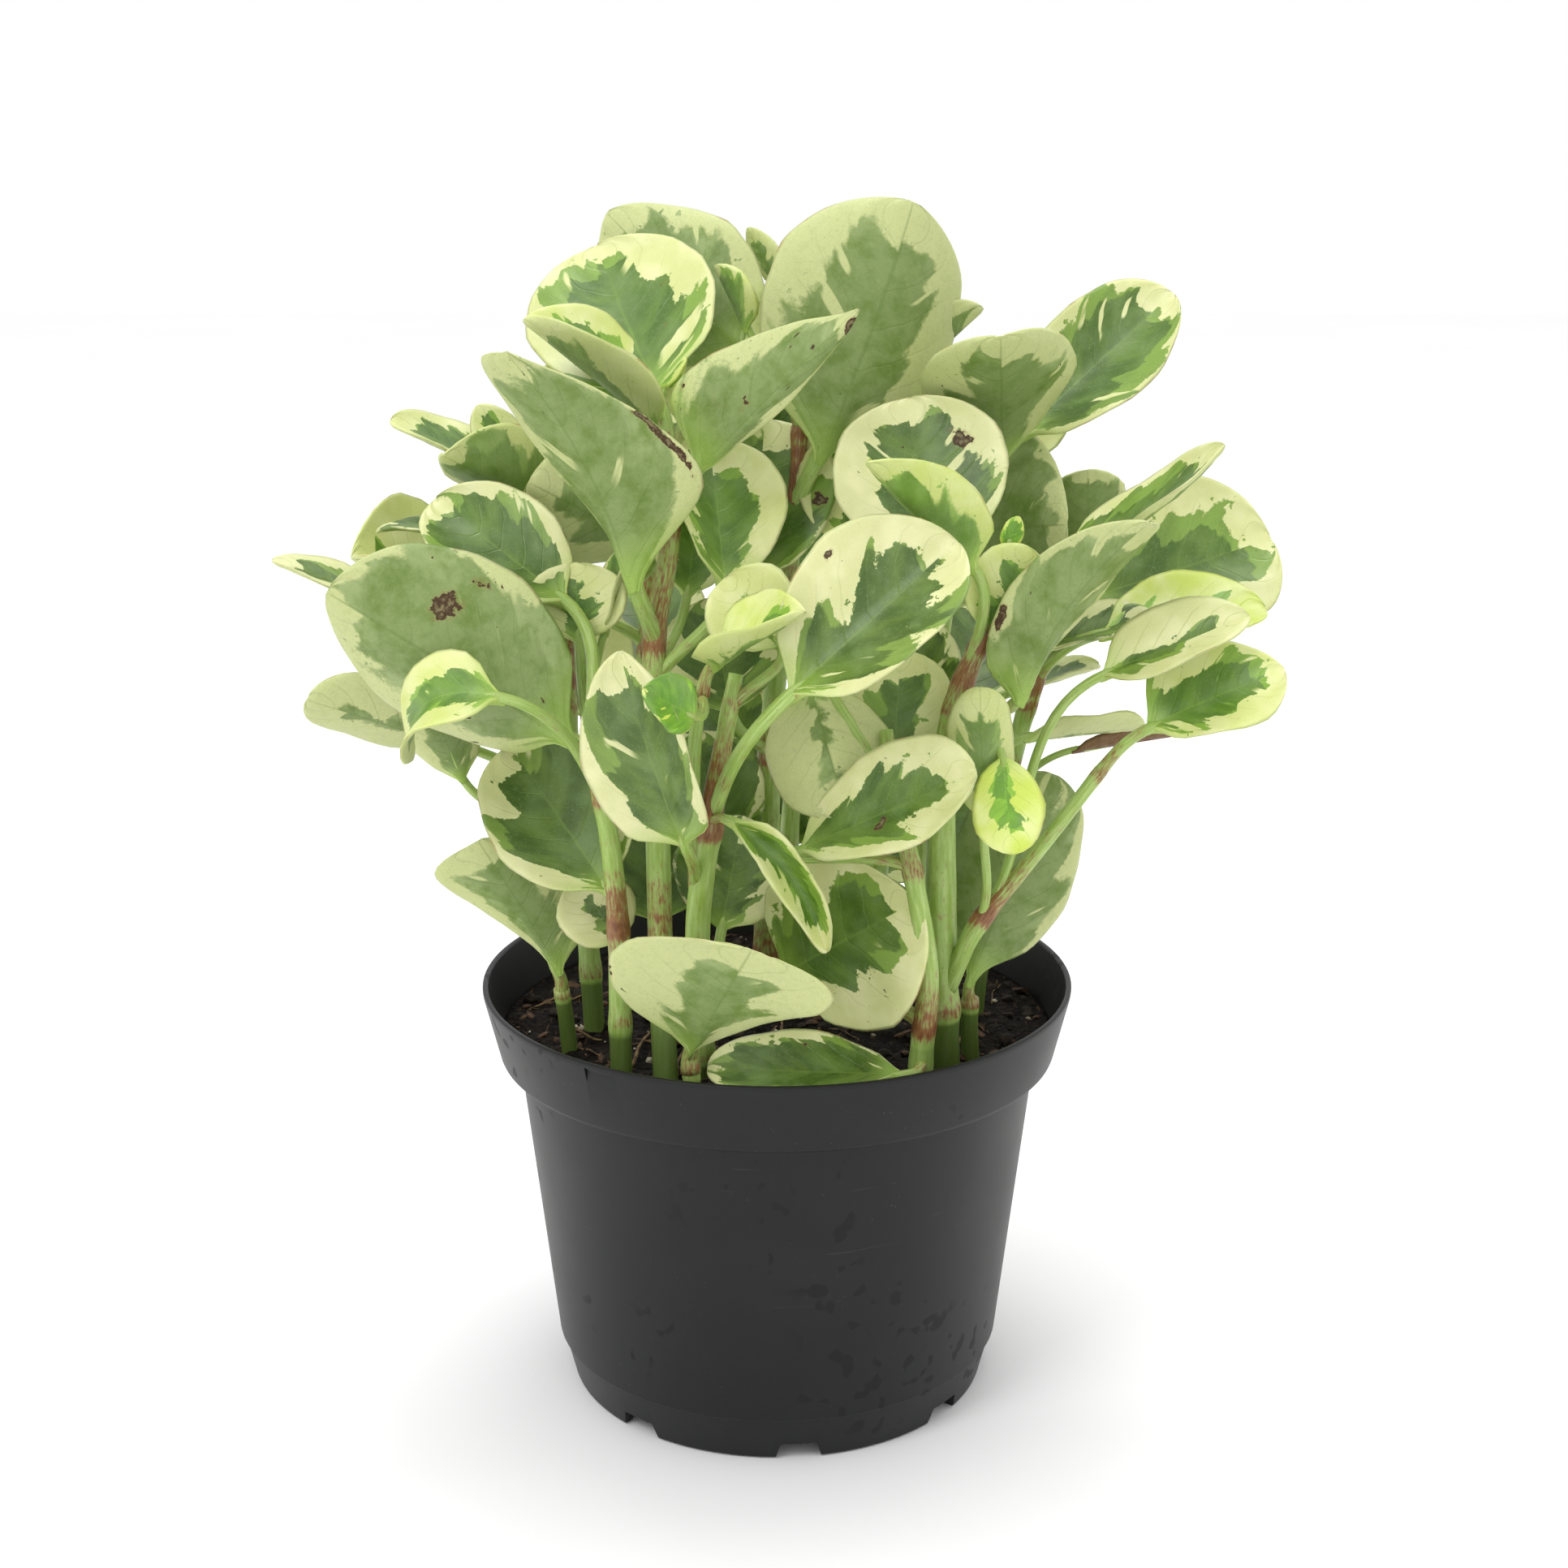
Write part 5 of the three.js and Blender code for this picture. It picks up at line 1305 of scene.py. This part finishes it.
@dataclass
class Soil:
    """The potting mix that fills the pot, with the loose bits on it. Millimetres."""

    pot: Pot
    level: float = 103.5
    rise: float = 3.0
    gap: float = 0.3
    bark_chips: int = 260
    perlite_grains: int = 110
    peat_clods: int = 420
    rootlets: int = 46
    rings: int = 66
    sides: int = 200
    seed: int = 11

    def __post_init__(self) -> None:
        """Works out the radius of the soil's top edge."""
        ledge = self.pot.collar_level + self.pot.wall
        slope = (self.pot.rim - self.pot.collar_foot) / (self.pot.height - ledge)
        self.edge = self.pot.collar_foot - self.pot.wall - self.gap + slope * (self.level - ledge)
        self.random = np.random.default_rng(self.seed)

    def top(self, x: float, y: float) -> float:
        """The height of the uneven surface.

        Args:
            x: How far right of the pot's axis.
            y: How far behind it.

        Returns:
            The height over that point.
        """
        far = min(1.0, math.hypot(x, y) / self.edge)
        broad = noise.noise(Vector((x, y, 3.0)) / 17)
        lumps = noise.fractal(Vector((x, y, 9.0)) / 5.5, 0.7, 2.1, 5)
        calm = 1 - smooth(np.array(far), 0.93, 1.0)
        return self.level + self.rise * (1 - far * far) + float(calm) * (1.3 * broad + 1.1 * lumps)

    def bed(self, finish: bpy.types.Material) -> bpy.types.Object:
        """Makes the body of the soil with its uneven top.

        Args:
            finish: Its material.

        Returns:
            The piece.
        """
        pot, gap = self.pot, self.gap
        ledge = pot.collar_level + pot.wall + gap
        shares = np.linspace(1, 0, self.rings)
        mesh = spun(
            [
                (0, pot.floor_top + gap),
                (pot.floor - gap, pot.floor_top + gap),
                (pot.body_top - pot.wall - gap, ledge),
                (pot.collar_foot - pot.wall - gap, ledge),
                *((self.edge * share, self.level + self.rise * (1 - share**2)) for share in shares),
            ],
            self.sides,
        )
        for vert in mesh.verts:
            x, y, z = vert.co / MM
            if z > self.level - 0.01:
                vert.co.z = self.top(x, y) * MM
        return dressed("soil_bed", mesh, finish, "soil")

    def spot(self, reach: float) -> tuple[float, float]:
        """A random place on the soil, within a share of its radius."""
        far, turn = reach * self.edge * math.sqrt(self.random.random()), self.random.random() * TURN
        return far * math.cos(turn), far * math.sin(turn)

    def scatter(
        self, name: str, count: int, sizes: tuple[Point, Point], finish: bpy.types.Material
    ) -> bpy.types.Object:
        """Strews rough bits over the soil.

        Args:
            name: The piece's name.
            count: How many bits.
            sizes: The smallest and largest length, width and height of a bit.
            finish: Their material.

        Returns:
            The piece.
        """
        mesh = bmesh.new()
        for _ in range(count):
            made = bmesh.ops.create_icosphere(mesh, subdivisions=1, radius=0.5)["verts"]
            low, high = np.array(sizes)
            size = low + (high - low) * self.random.random() ** 1.8
            x, y = self.spot(0.96)
            spin = Matrix.Rotation(self.random.random() * 6.28, 3, "Z")
            for axis in "XY":
                spin = spin @ Matrix.Rotation(self.random.normal(0, 0.35), 3, axis)
            for vert in made:
                rough = 1 + self.random.uniform(-0.28, 0.28)
                vert.co = (spin @ Vector(np.array(vert.co) * size * rough)) * MM
            height = self.top(x, y) + size[2] * self.random.uniform(-0.1, 0.35)
            bmesh.ops.translate(mesh, verts=made, vec=Vector((x, y, height)) * MM)
        piece = dressed(name, mesh, finish)
        piece.data.polygons.foreach_set("use_smooth", [False] * len(piece.data.polygons))
        return piece

    def roots(self, finish: bpy.types.Material) -> bpy.types.Object:
        """Lays thin brown rootlets and twigs over the soil.

        Args:
            finish: Their material.

        Returns:
            The piece.
        """
        tissue = Tissue("soil_rootlets")
        for i in range(self.rootlets):
            x, y = self.spot(0.86)
            way, bend = self.random.random() * 6.28, self.random.normal(0, 0.16)
            length, thick = self.random.uniform(10, 32), self.random.uniform(0.22, 0.65)
            line = []
            for step in np.linspace(0, 1, 9):
                if math.hypot(x, y) > 0.94 * self.edge:
                    x, y = x * 0.93, y * 0.93
                height = self.top(x, y) + thick * (0.9 + 2.6 * math.sin(math.pi * step) * (i % 3 == 0))
                line.append((x, y, height, thick * (1 - 0.6 * step)))
                way += bend + self.random.normal(0, 0.12)
                x, y = x + math.cos(way) * length / 8, y + math.sin(way) * length / 8
            tissue.add(Rod(np.array(line), i * 1.7).form, 6, 14)
        return tissue.finish(finish, Slot.SOIL)

    def build(self) -> None:
        """Makes the soil and everything that lies on it."""
        self.bed(EarthFinish().material())
        bark = GrainFinish("bark_chips", "2b1d13", "5e432c", 260.0, 0.85).material()
        self.scatter("soil_bark", self.bark_chips, ((1.2, 0.9, 0.6), (9.0, 4.0, 2.2)), bark)
        clods = GrainFinish("peat_clods", "140f0b", "2f2318", 420.0, 0.95).material()
        self.scatter("soil_clods", self.peat_clods, ((1.0, 1.0, 0.9), (5.0, 4.4, 3.2)), clods)
        perlite = GrainFinish("perlite", "8d7f68", "cfc6b2", 500.0, 0.8).material()
        self.scatter("soil_perlite", self.perlite_grains, ((0.6, 0.6, 0.5), (2.6, 2.3, 1.9)), perlite)
        self.roots(GrainFinish("rootlets", "4a3623", "8a6f48", 300.0, 0.8).material())


@dataclass(frozen=True)
class Studio:
    """A pale floor, soft white light, and the camera at the photograph's angle."""

    target: Point = (0.00195, 0.0, 0.173)
    distance: float = 0.650
    elevation: float = 15.55
    lens: float = 54.17
    daylight: float = 1.0
    lamps: tuple[tuple[Point, float, float], ...] = (
        ((-0.9, -1.1, 1.6), 0.7, 9.0),
        ((0.1, 0.3, 1.9), 0.9, 11.0),
    )

    def light(self) -> None:
        """Sets the surroundings and the lamps."""
        world = bpy.data.worlds.new("studio")
        world.use_nodes = True
        back = world.node_tree.nodes["Background"]
        back.inputs["Color"].default_value = (1, 1, 1, 1)
        back.inputs["Strength"].default_value = self.daylight
        bpy.context.scene.world = world
        for i, (place, size, power) in enumerate(self.lamps):
            lamp = bpy.data.lights.new(f"softbox_{i}", "AREA")
            lamp.shape, lamp.size, lamp.energy = "DISK", size, power
            holder = bpy.data.objects.new(lamp.name, lamp)
            holder.location = place
            holder.rotation_mode = "QUATERNION"
            holder.rotation_quaternion = (Vector(self.target) - Vector(place)).to_track_quat("-Z", "Y")
            bpy.context.scene.collection.objects.link(holder)

    def floor(self) -> None:
        """Lays the floor."""
        mesh = bmesh.new()
        bmesh.ops.create_grid(mesh, x_segments=1, y_segments=1, size=4.0)
        bmesh.ops.translate(mesh, verts=mesh.verts[:], vec=(0, 0, -0.0003))
        data = bpy.data.meshes.new("floor")
        mesh.to_mesh(data)
        mesh.free()
        g = Graph("pale_floor")
        shade = g.blend(g.noise(g.place(), 3.0, 1.0), "fafafa", "ffffff")
        data.materials.append(g.finish(shade, 0.9))
        ground = bpy.data.objects.new("floor", data)
        bpy.context.scene.collection.objects.link(ground)

    def camera(self) -> None:
        """Sets the camera up where the photograph was taken from."""
        data = bpy.data.cameras.new("camera")
        data.lens, data.sensor_width = self.lens, 36.0
        data.clip_start, data.clip_end = 0.01, 50.0
        camera = bpy.data.objects.new("camera", data)
        tilt = math.radians(self.elevation)
        back = Vector((0, -math.cos(tilt), math.sin(tilt)))
        camera.location = Vector(self.target) + back * self.distance
        camera.rotation_mode = "QUATERNION"
        camera.rotation_quaternion = (-back).to_track_quat("-Z", "Y")
        bpy.context.scene.collection.objects.link(camera)
        bpy.context.scene.camera = camera
        bpy.context.scene.view_settings.view_transform = "Standard"


def main() -> None:
    """Builds the plant, its pot and soil, and the studio round them."""
    logging.basicConfig(level=logging.INFO, format="%(name)s: %(message)s")
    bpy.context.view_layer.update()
    pot = Pot()
    pot.build(PlasticFinish().material())
    Soil(pot).build()
    stem_finish, leaf_finish = StemFinish().material(), LeafFinish().material()
    for shoot in SHOOTS:
        shoot.grow_stems(stem_finish)
        shoot.grow_leaves(leaf_finish)
    studio = Studio()
    studio.floor()
    studio.light()
    studio.camera()


if __name__ == "__main__":
    main()
